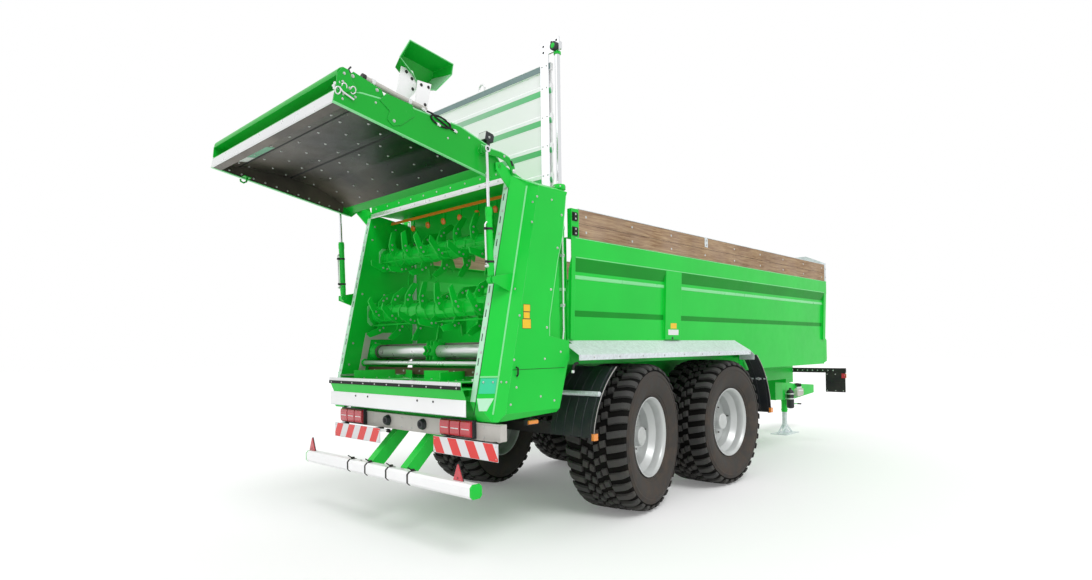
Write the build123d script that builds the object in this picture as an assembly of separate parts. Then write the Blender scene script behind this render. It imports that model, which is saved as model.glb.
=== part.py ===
from build123d import *
from math import acos, atan2, cos, degrees, hypot, pi, radians, sin
import os

# Tandem-axle manure spreader, parked on its wheels and drawbar jack.
# Millimetres. +X right, +Y forward (towards the drawbar), +Z up.
# The origin is on the ground, midway along the machine and on its centre line.

# ---- driving dimensions -------------------------------------------------
SHEET = 5.0                 # body and cover sheet
SEAT = 0.3                  # gap at a seat between two pieces of different bodies
RUN = 6.0                   # running clearance between moving pieces
PIN_FIT = 0.1               # radial clearance of a pin in its bore
BAR_SIDES = 12              # sides of a bar
TYRE_SIDES = 24             # sides of a tyre and of its rim
DISC_SIDES = 18             # sides of a wheel's disc and of a spreading disc

# wheels and axles
REAR_AXLE_Y = -2000.0
AXLE_SPACING = 1550.0
FRONT_AXLE_Y = REAR_AXLE_Y + AXLE_SPACING
TYRE_R = 665.0
TYRE_WIDTH = 585.0
TYRE_OUTER_X = 1268.0
WHEEL_X = TYRE_OUTER_X - TYRE_WIDTH / 2
WHEEL_Z = TYRE_R
RIM_R = 336.0
RIM_FLANGE_R = 358.0
RIM_WALL = 9.0
HUB_R = 135.0
STUB_R = 45.0
STUB_REACH = 70.0           # how far the stub axle passes the wheel's middle plane
KINGPIN_X = 894.0
KINGPIN_R = 22.0
REST_STEER = 11.3           # the rear wheels stand turned by this angle
AXLE_BEAM = 110.0

# chassis
RAIL_X = 450.0
RAIL_WIDTH = 90.0
RAIL_BOTTOM = 970.0
RAIL_TOP = 1220.0
RAIL_REAR_Y = -2985.0
TAIL_REAR_Y = -3560.0       # the shallower tail of the rails, under the cabinet
TAIL_TOP = 1100.0
RAIL_WALL = 8.0
RAIL_FRONT_Y = 2960.0
SPRING_X = 455.0
SPRING_WIDTH = 80.0

# load box
BOX_REAR_Y = -2895.0
BOX_FRONT_Y = 2655.0
BAND_X = 1129.0             # outer face of the top band
PANEL_X = 1083.0            # outer face of the side panel
BAND_TOP = 2382.0
BAND_BOTTOM = 2214.0
BAND_TOE = 2107.0
CREASE_Z = 1790.0
SIDE_BOTTOM = 1452.0
POST_FOOT_X = 1104.0
POST_BOTTOM = 1550.0
POST_SPANS = ((-2890.0, -2845.0), (-1500.0, -1225.0), (2570.0, 2648.0))
SKIRT_BOTTOM = 1204.0
SKIRT_REAR_Y = 50.0
FLOOR_TOP = 1500.0
FLOOR_THICK = 8.0
BOARD_TOP = 2620.0
BOARD_THICK = 40.0
BOARD_REAR_Y = -2795.0

# spreading cabinet
WALL_X = 946.0              # inner face of the cabinet walls
FLANGE_X = 1005.0
CASING_X = 1200.0           # outer face of the side casings
CABINET_TOP = 2800.0
EDGE_TOP_Y = -3450.0        # slanting rear edge of the cabinet
EDGE_BOTTOM_Y = -3820.0
EDGE_BOTTOM_Z = 1100.0

# beaters, their blades and the spreading discs
BEATER_R = 265.0
BEATER_TUBE_R = 84.0
BEATER_COUNT = 14
BEATER_PITCH = 130.0
BEATER_TWIST = 9.0
BLADE_THICK = 12.0
UPPER_BEATER_Y = -3265.0
UPPER_BEATER_Z = 2365.0
LOWER_BEATER_Y = -3400.0
LOWER_BEATER_Z = 1825.0
DISC_R = 440.0
DISC_X = 468.0
DISC_Y = -3430.0
DISC_Z = 1225.0
DISC_THICK = 8.0
VANE_HEIGHT = 72.0
VANE_COUNT = 4
BEATER_BARS = 2             # straight bars along each beater
BEATER_BAR_PLACE = 0.46     # their distance from the shaft, as a share of the tip radius
TABLE_Z = 1190.0
TABLE_REAR_Y = -3900.0

# scraper floor
SHAFT_Y = -3410.0
SHAFT_Z = 1465.0
CHAIN_R = 60.0
CHAIN_FRONT_Y = 2560.0
CHAIN_X = 860.0
CHAIN_LINES = (-CHAIN_X, -30.0, 30.0, CHAIN_X)
SLAT_PITCH = 500.0
SLAT_FIRST = 80.0
SHAFT_R = 44.0

# guillotine door
DOOR_Y = -2960.0
DOOR_HALF = 998.0
DOOR_THICK = 30.0
DOOR_SHUT_Z = 1545.0
DOOR_TOP = 3820.0
DOOR_TRAVEL = 1060.0
DOOR_BOTTOM = DOOR_SHUT_Z + DOOR_TRAVEL    # the door stands fully raised
RIB_PITCH = 245.0
RIB_COUNT = 4
POST_REACH = (892.0, 984.0) # the door's edge posts, across
LIFT_X = 1062.0
LIFT_BARREL_R = 38.0
LIFT_ROD_R = 22.0
LIFT_TOP = 2800.0
LIFT_BOTTOM = 1400.0

# rear hatch
HINGE_Y = -3565.0
HINGE_Z = 2848.0
HINGE_PIN_R = 16.0
HATCH_ANGLE = 10.5          # the raised hatch slopes up by this angle
HATCH_LENGTH = 1335.0
HATCH_LIP = -108.0          # lower edge of the side plates, from the hinge axis
HATCH_HALF = 993.0
HATCH_PLATE = 8.0
HATCH_CYL_X = 1052.0
HATCH_CYL_BASE = (-3700.0, 1980.0)
HATCH_CYL_TOP = (178.0, 51.0)
BASE_PIN_R = 14.0
HATCH_BARREL_R = 25.0
HATCH_BARREL_LENGTH = 500.0
HATCH_ROD_R = 13.0
HATCH_ROD_LENGTH = 590.0    # from its eye down into the barrel

# drawbar, jack and lamps
DRAWBAR_FRONT_Y = 4780.0
DRAWBAR_Z = 700.0
EYE_Y = 4842.0
EYE_R = 55.0
EYE_BORE = 25.0
EYE_THICK = 60.0
JACK_Y = 3780.0
JACK_R = 48.0
JACK_TRAVEL = 200.0
JACK_OVERLAP = 160.0        # length of leg inside the tube before it is raised
PTO_R = 18.0
PTO_Z = 1060.0

os.makedirs("parts", exist_ok=True)


# ---- helpers ------------------------------------------------------------
def block(x0, x1, y0, y1, z0, z1):
    """Box between two corners."""
    middle = Pos((x0 + x1) / 2, (y0 + y1) / 2, (z0 + z1) / 2)
    return middle * Box(abs(x1 - x0), abs(y1 - y0), abs(z1 - z0))


def side_prism(points, x0, x1):
    """Profile of (y, z) points, extruded from x0 to x1."""
    face = make_face(Polyline(*points, close=True))
    return extrude(Plane.YZ.offset(min(x0, x1)) * face, abs(x1 - x0))


def cross_prism(points, y0, y1):
    """Profile of (x, z) points, extruded from y0 to y1."""
    face = make_face(Polyline(*points, close=True))
    plane = Plane(origin=(0, max(y0, y1), 0), x_dir=(1, 0, 0), z_dir=(0, -1, 0))
    return extrude(plane * face, abs(y1 - y0))


def flat_prism(points, z0, z1):
    """Profile of (x, y) points, extruded from z0 to z1."""
    face = make_face(Polyline(*points, close=True))
    return extrude(Pos(0, 0, z0) * face, z1 - z0)


def many_sided(radius, length, sides=BAR_SIDES, journal=False):
    """Many-sided bar about Z, centred on the origin. A journal has a sixth of its face truly round."""
    points = []
    for i in range(sides):
        angle = 2 * pi * i / sides
        points.append((radius * cos(angle), radius * sin(angle)))
    if journal:
        last = sides // 6
        middle = (radius * cos(pi * last / sides), radius * sin(pi * last / sides))
        outline = Polyline(*points[last:], points[0]) + ThreePointArc(points[0], middle, points[last])
    else:
        outline = Polyline(*points, close=True)
    return Pos(0, 0, -length / 2) * extrude(make_face(outline), length)


def bore_radius(radius, sides=BAR_SIDES):
    """Corner radius of a many-sided bore that a bar of this radius turns in."""
    return (radius + PIN_FIT / 2) / cos(pi / sides)


def rod_x(radius, x0, x1, y, z, sides=BAR_SIDES, journal=False):
    """Bar along X."""
    return Pos((x0 + x1) / 2, y, z) * Rot(0, 90, 0) * many_sided(radius, abs(x1 - x0), sides, journal)


def rod_y(radius, y0, y1, x, z, sides=BAR_SIDES):
    """Bar along Y."""
    return Pos(x, (y0 + y1) / 2, z) * Rot(90, 0, 0) * many_sided(radius, abs(y1 - y0), sides)


def rod_z(radius, z0, z1, x, y, sides=BAR_SIDES, journal=False):
    """Bar along Z."""
    return Pos(x, y, (z0 + z1) / 2) * many_sided(radius, abs(z1 - z0), sides, journal)


def ring_about_x(section, sides):
    """Ring about X with a flat at the bottom, from a closed section of (x, radius) points."""
    wires = []
    for i in range(sides):
        angle = 2 * pi * (i + 0.5) / sides
        wires.append([(x, r * sin(angle), r * cos(angle)) for x, r in section])
    faces = []
    for i in range(sides):
        here = wires[i]
        there = wires[(i + 1) % sides]
        for j in range(len(section)):
            k = (j + 1) % len(section)
            faces.append(Face(Wire.make_polygon([here[j], here[k], there[k], there[j]])))
    return Solid(Shell(faces))


def sheet_line(points, thickness):
    """Outline of a folded sheet: a chain of points, thickened to its left-hand side."""
    normals = []
    for (a0, b0), (a1, b1) in zip(points, points[1:]):
        length = hypot(a1 - a0, b1 - b0)
        normals.append(((b0 - b1) / length, (a1 - a0) / length))
    inner = [(points[0][0] + normals[0][0] * thickness, points[0][1] + normals[0][1] * thickness)]
    for point, before, after in zip(points[1:], normals, normals[1:]):
        scale = thickness / (1 + before[0] * after[0] + before[1] * after[1])
        inner.append((point[0] + (before[0] + after[0]) * scale, point[1] + (before[1] + after[1]) * scale))
    last = points[-1]
    inner.append((last[0] + normals[-1][0] * thickness, last[1] + normals[-1][1] * thickness))
    return list(points) + inner[::-1]


def both(solid):
    """The solid and its mirror image across the centre line."""
    return solid + mirror(solid, about=Plane.YZ)


def other_side(solid):
    return mirror(solid, about=Plane.YZ)


def edge_y(z):
    """Y of the slanting rear edge of the cabinet at height z."""
    slope = (EDGE_BOTTOM_Y - EDGE_TOP_Y) / (CABINET_TOP - EDGE_BOTTOM_Z)
    return EDGE_TOP_Y + slope * (CABINET_TOP - z)


def save(name, shape):
    export_step(shape, "parts/" + name + ".step")


def save_pair(name, right):
    save(name + "_right", right)
    save(name + "_left", other_side(right))


# ---- load box -----------------------------------------------------------
# outer face of the right-hand side, upwards, as (x, z)
SIDE_LINE = [
    (PANEL_X - 2, SIDE_BOTTOM),
    (PANEL_X, CREASE_Z),
    (PANEL_X + 15, BAND_TOE),
    (BAND_X, BAND_BOTTOM),
    (BAND_X, BAND_TOP),
    (PANEL_X - 30, BAND_TOP),
]


def box_side():
    """Right-hand side: one folded sheet, with a low skirt ahead of the wheels."""
    side_front = BOX_FRONT_Y - SHEET
    side = cross_prism(sheet_line(SIDE_LINE, SHEET), BOX_REAR_Y, side_front)
    skirt = block(PANEL_X - 2 - SHEET, PANEL_X - 2, SKIRT_REAR_Y, side_front, SKIRT_BOTTOM,
        SIDE_BOTTOM + 30)
    return side + skirt


def pressed_post(y0, y1):
    """Hollow post pressed over the side panel, flush with the band."""
    face = [(POST_FOOT_X, POST_BOTTOM), (BAND_X, BAND_BOTTOM)]
    root = [(PANEL_X + 15, BAND_TOE), (PANEL_X, CREASE_Z), (PANEL_X - 1, POST_BOTTOM)]
    post = cross_prism(sheet_line(face, SHEET), y0, y1)
    for y in (y0, y1 - SHEET):
        post = post + cross_prism(face + root, y, y + SHEET)
    return post


box_right = box_side()
for post_span in POST_SPANS:
    box_right = box_right + pressed_post(*post_span)
inner_x = PANEL_X - 2 - SHEET
save_pair("box_side", box_right)

floor_z = (FLOOR_TOP - FLOOR_THICK, FLOOR_TOP)
box_floor = block(-inner_x, inner_x, BOX_REAR_Y, BOX_FRONT_Y - SHEET, *floor_z)
box_floor = box_floor + block(-WALL_X, WALL_X, SHAFT_Y + 150, BOX_REAR_Y, *floor_z)
for x in CHAIN_LINES:
    box_floor = box_floor - block(x - 18, x + 18, CHAIN_FRONT_Y + 30, CHAIN_FRONT_Y + 80,
        FLOOR_TOP - 50, FLOOR_TOP + 50)
save("box_floor", box_floor)

wall_half = [(PANEL_X - 2, RAIL_TOP)] + SIDE_LINE[:5]
wall_outline = wall_half + [(-x, z) for x, z in wall_half[::-1]]
front_wall = cross_prism(wall_outline, BOX_FRONT_Y - SHEET, BOX_FRONT_Y)
front_bulge = side_prism(
    [(BOX_FRONT_Y, RAIL_TOP), (BOX_FRONT_Y + 100, RAIL_TOP + 20), (BOX_FRONT_Y + 100, 1540),
    (BOX_FRONT_Y, 1600)],
    -PANEL_X, PANEL_X)
save("box_front_wall", front_wall + front_bulge)

save_pair("board", block(PANEL_X + 2, PANEL_X + 2 + BOARD_THICK, BOARD_REAR_Y, BOX_FRONT_Y - 55,
    BAND_TOP, BOARD_TOP))

head_outline = [
    (-BAND_X, BAND_TOP),
    (BAND_X, BAND_TOP),
    (BAND_X, BOARD_TOP + 20),
    (850, 2770),
    (-850, 2770),
    (-BAND_X, BOARD_TOP + 20),
]
head = cross_prism(head_outline, BOX_FRONT_Y - SHEET, BOX_FRONT_Y)
head_posts = both(block(PANEL_X - 20, BAND_X, BOX_FRONT_Y - 55, BOX_FRONT_Y - SHEET, BAND_TOP,
    BOARD_TOP + 20))
save("head_panel", head + head_posts)

# portal frame at the rear end of the box, which carries the door guides
GUIDE_OUT = DOOR_HALF + 14
GUIDE_REAR = DOOR_Y - DOOR_THICK / 2 - 16
GUIDE_FRONT = DOOR_Y + DOOR_THICK / 2 + 16
portal = both(block(GUIDE_OUT - 60, GUIDE_OUT, GUIDE_FRONT, BOX_REAR_Y, FLOOR_TOP - 120, BAND_TOP))
portal = portal + both(block(GUIDE_OUT, PANEL_X - 2 - SHEET, BOX_REAR_Y - 6, BOX_REAR_Y, FLOOR_TOP,
    BAND_TOP))
portal = portal + both(block(PANEL_X + 2, PANEL_X + 2 + BOARD_THICK + 3, BOX_REAR_Y + 4,
    BOARD_REAR_Y - 3, BAND_TOP, BOARD_TOP - 5))
save("box_rear_frame", portal)


# ---- chassis ------------------------------------------------------------
def rail():
    """Box-section side rail: a hollow tube with a shallower solid tail under the cabinet."""
    x0 = RAIL_X - RAIL_WIDTH / 2
    x1 = RAIL_X + RAIL_WIDTH / 2
    tube = block(x0, x1, RAIL_REAR_Y, RAIL_FRONT_Y, RAIL_BOTTOM, RAIL_TOP)
    bore = block(x0 + RAIL_WALL, x1 - RAIL_WALL, RAIL_REAR_Y + 20, RAIL_FRONT_Y + 1,
        RAIL_BOTTOM + RAIL_WALL, RAIL_TOP - RAIL_WALL)
    return tube - bore + block(x0, x1, TAIL_REAR_Y, RAIL_REAR_Y, RAIL_BOTTOM, TAIL_TOP)


CROSS_Y = (-2905, -1225, 300, 1500, 2600)
RAIL_IN = RAIL_X - RAIL_WIDTH / 2
OUTRIGGER_Y = (-2860, -1990, -1225, -460, 300, 900, 1500, 2100, 2600)
BEARER_Y = (-2860, -1990, -1225, -460, 300, 900, 1500, 2100, 2440)
BEARER_TOP = FLOOR_TOP - FLOOR_THICK
BEARER_LOW = BEARER_TOP - 68
OUTRIGGER_TOP = 1378.0
OUTRIGGER_LOW = 1342.0
SILL_X = (960.0, 1000.0)
FLOOR_REAR_Y = -2895.0
chassis = both(rail())
for y in CROSS_Y:
    chassis = chassis + block(-RAIL_IN, RAIL_IN, y - 40, y + 40, RAIL_BOTTOM + 30, RAIL_TOP - 30)
chassis = chassis + block(-RAIL_IN, RAIL_IN, TAIL_REAR_Y, TAIL_REAR_Y + 60, RAIL_BOTTOM, TAIL_TOP)
chassis = chassis + both(block(RAIL_X - 45, RAIL_X + 45, FLOOR_REAR_Y, 2650, RAIL_TOP, OUTRIGGER_LOW))
chassis = chassis + both(block(*SILL_X, FLOOR_REAR_Y, 2650, OUTRIGGER_LOW, BEARER_TOP))
for y in OUTRIGGER_Y:
    chassis = chassis + block(-SILL_X[0], SILL_X[0], y - 30, y + 30, OUTRIGGER_LOW, OUTRIGGER_TOP)
for y in BEARER_Y:
    chassis = chassis + block(-SILL_X[0], SILL_X[0], y - 30, y + 30, BEARER_LOW, BEARER_TOP)
save("chassis", chassis)

headstock = block(-330, 330, 2700, RAIL_FRONT_Y, 640, RAIL_BOTTOM)
rail_out = RAIL_X + RAIL_WIDTH / 2
headstock = headstock + block(-rail_out, rail_out, 2700, RAIL_FRONT_Y, RAIL_BOTTOM - 60, RAIL_BOTTOM)
drawbar_body = side_prism(
    [(RAIL_FRONT_Y - 20, 640), (3700, 560), (DRAWBAR_FRONT_Y, 630), (DRAWBAR_FRONT_Y, 770),
     (3900, 830), (RAIL_FRONT_Y - 20, RAIL_BOTTOM)],
    -110, 110)
jack_bore = rod_z(JACK_R, 300, 1100, 0, JACK_Y)
save("drawbar", headstock + drawbar_body - jack_bore)
eye_low = DRAWBAR_Z - EYE_THICK / 2
eye_high = DRAWBAR_Z + EYE_THICK / 2
eye = rod_z(EYE_R, eye_low, eye_high, 0, EYE_Y, 24)
eye = eye + block(-38, 38, DRAWBAR_FRONT_Y, EYE_Y, eye_low, eye_high)
save("tow_eye", eye - Pos(0, EYE_Y, DRAWBAR_Z) * Cylinder(EYE_BORE, 2 * EYE_THICK))

# drawbar jack: outer tube in the drawbar, and the leg that slides in it
JACK_LOW = 360.0
jack_outer = rod_z(JACK_R, JACK_LOW, 980, 0, JACK_Y) - rod_z(JACK_R - 8, JACK_LOW - 1, 960, 0, JACK_Y)
save("jack_barrel", jack_outer)
jack_inner = rod_z(JACK_R - 8 - SEAT, 30, JACK_LOW + JACK_OVERLAP, 0, JACK_Y)
foot = block(-140, 140, JACK_Y - 255, JACK_Y + 255, 0, 12)
brace = side_prism([(JACK_Y - 235, 12), (JACK_Y - 195, 12), (JACK_Y - 30, 110), (JACK_Y - 30, 150)], 22, 34)
far_brace = side_prism([(JACK_Y + 235, 12), (JACK_Y + 195, 12), (JACK_Y + 30, 110), (JACK_Y + 30,
    150)], 22, 34)
save("jack_leg", jack_inner + foot + both(brace + far_brace) + rod_z(60, 12, 34, 0, JACK_Y))


# ---- running gear -------------------------------------------------------
spring_low = WHEEL_Z + AXLE_BEAM / 2
spring_top = spring_low + 60
pivot_y = (REAR_AXLE_Y + FRONT_AXLE_Y) / 2
spring_in = SPRING_X - SPRING_WIDTH / 2
spring_out = SPRING_X + SPRING_WIDTH / 2
springs = both(block(spring_in, spring_out, REAR_AXLE_Y - 90, FRONT_AXLE_Y + 90, spring_low, spring_top))
hangers = both(side_prism(
    [(pivot_y - 260, RAIL_BOTTOM), (pivot_y - 90, spring_top), (pivot_y + 90, spring_top),
     (pivot_y + 260, RAIL_BOTTOM)],
    spring_in, spring_out))
save("bogie", springs + hangers)

half = AXLE_BEAM / 2
beam_z = (WHEEL_Z - half, WHEEL_Z + half)
HUB_INNER = WHEEL_X - 40
front_beam = block(-HUB_INNER, HUB_INNER, FRONT_AXLE_Y - half, FRONT_AXLE_Y + half, *beam_z)
front_ends = both(rod_x(STUB_R, HUB_INNER, WHEEL_X + STUB_REACH, FRONT_AXLE_Y, WHEEL_Z, DISC_SIDES,
    journal=True))
save("front_axle", front_beam + front_ends)

FORK_GAP = 62.0
FORK_PLATE = 24.0
FORK_X = (KINGPIN_X - 110, KINGPIN_X + 45)
rear_beam = block(-FORK_X[0], FORK_X[0], REAR_AXLE_Y - half, REAR_AXLE_Y + half, *beam_z)
fork_y = (REAR_AXLE_Y - 45, REAR_AXLE_Y + 45)
fork_top = block(*FORK_X, *fork_y, WHEEL_Z + FORK_GAP, WHEEL_Z + FORK_GAP + FORK_PLATE)
fork_low = block(*FORK_X, *fork_y, WHEEL_Z - FORK_GAP - FORK_PLATE, WHEEL_Z - FORK_GAP)
fork_web = block(FORK_X[0] - 20, FORK_X[0] + 24, *fork_y, WHEEL_Z - FORK_GAP - FORK_PLATE,
    WHEEL_Z + FORK_GAP + FORK_PLATE)
pin_z = (WHEEL_Z - FORK_GAP - FORK_PLATE, WHEEL_Z + FORK_GAP + FORK_PLATE)
kingpin = rod_z(KINGPIN_R, *pin_z, KINGPIN_X, REAR_AXLE_Y, journal=True)
save("rear_axle", rear_beam + both(fork_top + fork_low + fork_web + kingpin))


def turned(solid, side):
    """Turns a part of the rear wheel station about its kingpin to the parked steering angle."""
    pin = Pos(side * KINGPIN_X, REAR_AXLE_Y, 0)
    return pin * Rot(0, 0, REST_STEER) * pin.inverse() * solid


def knuckle(side):
    """Steering knuckle with its stub axle and steering arm."""
    sleeve = rod_z(2 * KINGPIN_R, WHEEL_Z - FORK_GAP + SEAT, WHEEL_Z + FORK_GAP - SEAT, KINGPIN_X,
        REAR_AXLE_Y)
    stub = rod_x(STUB_R, KINGPIN_X + 20, WHEEL_X + STUB_REACH, REAR_AXLE_Y, WHEEL_Z, DISC_SIDES,
        journal=True)
    arm = block(KINGPIN_X - 22, KINGPIN_X + 22, REAR_AXLE_Y - 200, REAR_AXLE_Y, WHEEL_Z - 30, WHEEL_Z)
    bore = rod_z(bore_radius(KINGPIN_R), WHEEL_Z - 80, WHEEL_Z + 80, KINGPIN_X, REAR_AXLE_Y)
    solid = sleeve + stub + arm - bore
    if side < 0:
        solid = other_side(solid)
    return turned(solid, side)


save("knuckle_right", knuckle(1))
save("knuckle_left", knuckle(-1))

# tyre section as (distance from the wheel centre as a share of the width, radius of the flats)
TYRE_SECTION = [
    (-0.36, RIM_R + SEAT),
    (-0.50, RIM_R + 160),
    (-0.485, TYRE_R - 60),
    (-0.44, TYRE_R - 12),
    (-0.36, TYRE_R),
]
# its hollow, open towards the rim
TYRE_HOLLOW = [
    (-0.31, RIM_R + SEAT),
    (-0.44, RIM_R + 160),
    (-0.40, TYRE_R - 60),
]
FLAT_TO_CORNER = 1 / cos(pi / TYRE_SIDES)


def tyre(x, y):
    """Tyre carcass of one wall, carried round the axle."""
    outside = [(a * TYRE_WIDTH, r * FLAT_TO_CORNER) for a, r in TYRE_SECTION]
    inside = [(a * TYRE_WIDTH, r * FLAT_TO_CORNER) for a, r in TYRE_HOLLOW]
    section = outside + [(-a, r) for a, r in outside[::-1]] + [(-a, r) for a, r in inside] + inside[::-1]
    return Pos(x, y, WHEEL_Z) * ring_about_x(section, TYRE_SIDES)


DISC_IN_X = 6.0             # inner face of the wheel disc, from the wheel's middle plane
DISC_WALL = 14.0
WELL_R = 298.0              # drop centre of the rim
BEAD_SEAT_X = 158.0         # where the bead seat meets the drop centre
RIM_LIP_X = TYRE_WIDTH * 0.42
HUB_CAP_X = 160.0
HUB_CAP_R = 84.0


def rim(x, y, side):
    """Drop-centre rim, a wheel disc deep inside it, and the hub with its cap."""
    seat_r = RIM_R * FLAT_TO_CORNER
    lip_r = RIM_FLANGE_R * FLAT_TO_CORNER
    well_r = WELL_R * FLAT_TO_CORNER
    outer = [
        (-RIM_LIP_X, lip_r), (-RIM_LIP_X + 26, seat_r), (-BEAD_SEAT_X, seat_r), (-BEAD_SEAT_X + 30, well_r),
        (BEAD_SEAT_X - 58, well_r), (BEAD_SEAT_X, seat_r), (RIM_LIP_X - 26, seat_r), (RIM_LIP_X, lip_r),
    ]
    inner = [(a, r - RIM_WALL) for a, r in outer[::-1]]
    disc_out = DISC_IN_X + DISC_WALL
    disc_r = (well_r - RIM_WALL) * cos(pi / TYRE_SIDES) - 1
    bore = bore_radius(STUB_R, DISC_SIDES)
    disc = [
        (DISC_IN_X, disc_r + 6), (disc_out, disc_r + 6), (disc_out, HUB_R), (disc_out + 40, HUB_CAP_R + 8),
        (HUB_CAP_X, HUB_CAP_R - 4), (HUB_CAP_X, 3), (STUB_REACH + 8, 3), (STUB_REACH + 8, bore), (-14,
        bore), (-14, HUB_R - 20),
        (DISC_IN_X, HUB_R),
    ]
    wheel = ring_about_x(outer + inner, TYRE_SIDES) + ring_about_x(disc, DISC_SIDES)
    if side < 0:
        wheel = mirror(wheel, about=Plane.YZ)
    return Pos(x, y, WHEEL_Z) * wheel


for side, name in ((1, "right"), (-1, "left")):
    save("tyre_front_" + name, tyre(side * WHEEL_X, FRONT_AXLE_Y))
    save("rim_front_" + name, rim(side * WHEEL_X, FRONT_AXLE_Y, side))
    save("tyre_rear_" + name, turned(tyre(side * WHEEL_X, REAR_AXLE_Y), side))
    save("rim_rear_" + name, turned(rim(side * WHEEL_X, REAR_AXLE_Y, side), side))


# ---- mudguards and fenders ----------------------------------------------
GUARD_OUT_X = 1274.0
GUARD_LIP_Z = 1380.0
GUARD_EDGE_Z = 1424.0
GUARD_IN_Z = 1540.0
GUARD_IN_X = PANEL_X - 2 + 2 * (GUARD_IN_Z - SIDE_BOTTOM) / (CREASE_Z - SIDE_BOTTOM) + SEAT
FENDER_IN_X = 800.0
FENDER_WALL = 6.0
FENDER_STEP = 10.0          # degrees between the fender's folds
REAR_FENDER_R = 830.0
FRONT_FENDER_R = 900.0
STAY_R = 21.0               # fender stay
STAY_Z = 1100.0
guard_front = FRONT_AXLE_Y + 400
guard_section = sheet_line([(GUARD_OUT_X, GUARD_LIP_Z), (GUARD_OUT_X, GUARD_EDGE_Z), (GUARD_IN_X,
    GUARD_IN_Z)], 4)
guard = cross_prism(guard_section, REAR_AXLE_Y - 985, guard_front)
guard = guard - block(GUARD_IN_X - 20, GUARD_IN_X, REAR_AXLE_Y - 990, guard_front + 5, GUARD_LIP_Z,
    GUARD_IN_Z + 5)
guard = guard - block(GUARD_IN_X - 10, LIFT_X + LIFT_BARREL_R + 25, REAR_AXLE_Y - 1000, BOX_REAR_Y + 5,
    1300, 1600)
nose_line = [(guard_front, GUARD_EDGE_Z - 4), (guard_front + 90, GUARD_LIP_Z), (guard_front + 90,
    GUARD_LIP_Z - 60)]
nose = side_prism(sheet_line(nose_line, -4), GUARD_IN_X + 10, GUARD_OUT_X)
save_pair("mudguard", guard + nose)


def arc_points(centre_y, radius, first, last):
    """Points round the wheel's axle between two angles from straight up, as (y, z)."""
    count = round(abs(last - first) / FENDER_STEP)
    points = []
    for i in range(count + 1):
        angle = radians(first + (last - first) * i / count)
        points.append((centre_y + radius * sin(angle), WHEEL_Z + radius * cos(angle)))
    return points


def fender(centre_y, radius, first, last, inner_x):
    """Quarter fender: a folded band round the wheel."""
    return side_prism(sheet_line(arc_points(centre_y, radius, first, last), -FENDER_WALL), inner_x,
        GUARD_OUT_X)


def fender_stay(centre_y, radius, forward):
    """Stay from the chassis rail that carries a fender."""
    rise = STAY_Z - WHEEL_Z
    reach = (radius + STAY_R - 9) ** 2 - rise ** 2
    return rod_x(STAY_R, RAIL_X + RAIL_WIDTH / 2, GUARD_OUT_X - 10, centre_y + forward * reach ** 0.5,
        STAY_Z, 8)


# the front fender is narrow where it passes the skirt of the box
low_angle = degrees(acos((SKIRT_BOTTOM - 12 - WHEEL_Z) / FRONT_FENDER_R))
fender_front = fender(FRONT_AXLE_Y, FRONT_FENDER_R, 38, low_angle, PANEL_X + 8)
fender_front = fender_front + fender(FRONT_AXLE_Y, FRONT_FENDER_R, low_angle, 88, FENDER_IN_X)
fender_front = fender_front + fender_stay(FRONT_AXLE_Y, FRONT_FENDER_R, 1)
fender_rear = fender(REAR_AXLE_Y, REAR_FENDER_R, -84, -38, FENDER_IN_X) + fender_stay(REAR_AXLE_Y,
    REAR_FENDER_R, -1)
save_pair("fender", fender_front + fender_rear)


# ---- spreading cabinet --------------------------------------------------
CASING_FRONT_Y = GUIDE_REAR
CASING_LOW_Z = 955.0
CASING_REAR_LOW_Y = -3755.0
casing_outline = [
    (CASING_FRONT_Y, CABINET_TOP - 76),
    (-3036, CABINET_TOP - 60),
    (edge_y(CABINET_TOP), CABINET_TOP),
    (edge_y(EDGE_BOTTOM_Z), EDGE_BOTTOM_Z),
    (CASING_REAR_LOW_Y, CASING_LOW_Z),
    (-3149, 987),
    (-3036, 1369),
    (CASING_FRONT_Y, 1400),
]
# the recess ahead of the side cover's slanting front edge, where the lift cylinder shows
RECESS_X = 1102.0
casing_recess = [
    (-2980, CABINET_TOP), (-3030, 2680), (-3075, 2356), (-3137, 2154), (-3236, 1702), (-3239, 1572),
    (-3009, 1534), (-2980, 1534),
]
BEVEL_X = 1110.0
BEVEL_DEPTH = 100.0


def slanted_cut(x0, x1, depth0, depth1):
    """Everything behind the slanting edge, moved forward by depth0 at x0 and by depth1 at x1."""
    sections = []
    for z in (900.0, 2900.0):
        rear = edge_y(z)
        outline = [(x0, rear + depth0), (x1, rear + depth1), (x1, rear - 400), (x0, rear - 400)]
        sections.append(Pos(0, 0, z) * make_face(Polyline(*outline, close=True)))
    return loft(sections)


casing = side_prism(casing_outline, WALL_X, CASING_X)
casing = casing - slanted_cut(FLANGE_X, BEVEL_X, 0, BEVEL_DEPTH)
# room for the door's lift cylinder ahead of the casing
LIFT_ROOM_Y = DOOR_Y - LIFT_BARREL_R - 20
casing = casing - block(GUIDE_OUT, CASING_X + 1, LIFT_ROOM_Y, CASING_FRONT_Y + 1, 900, CABINET_TOP + 1)
casing = casing - slanted_cut(BEVEL_X, CASING_X + 1, BEVEL_DEPTH, BEVEL_DEPTH + 30)
casing = casing - side_prism(casing_recess, RECESS_X, CASING_X + 1)
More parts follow.
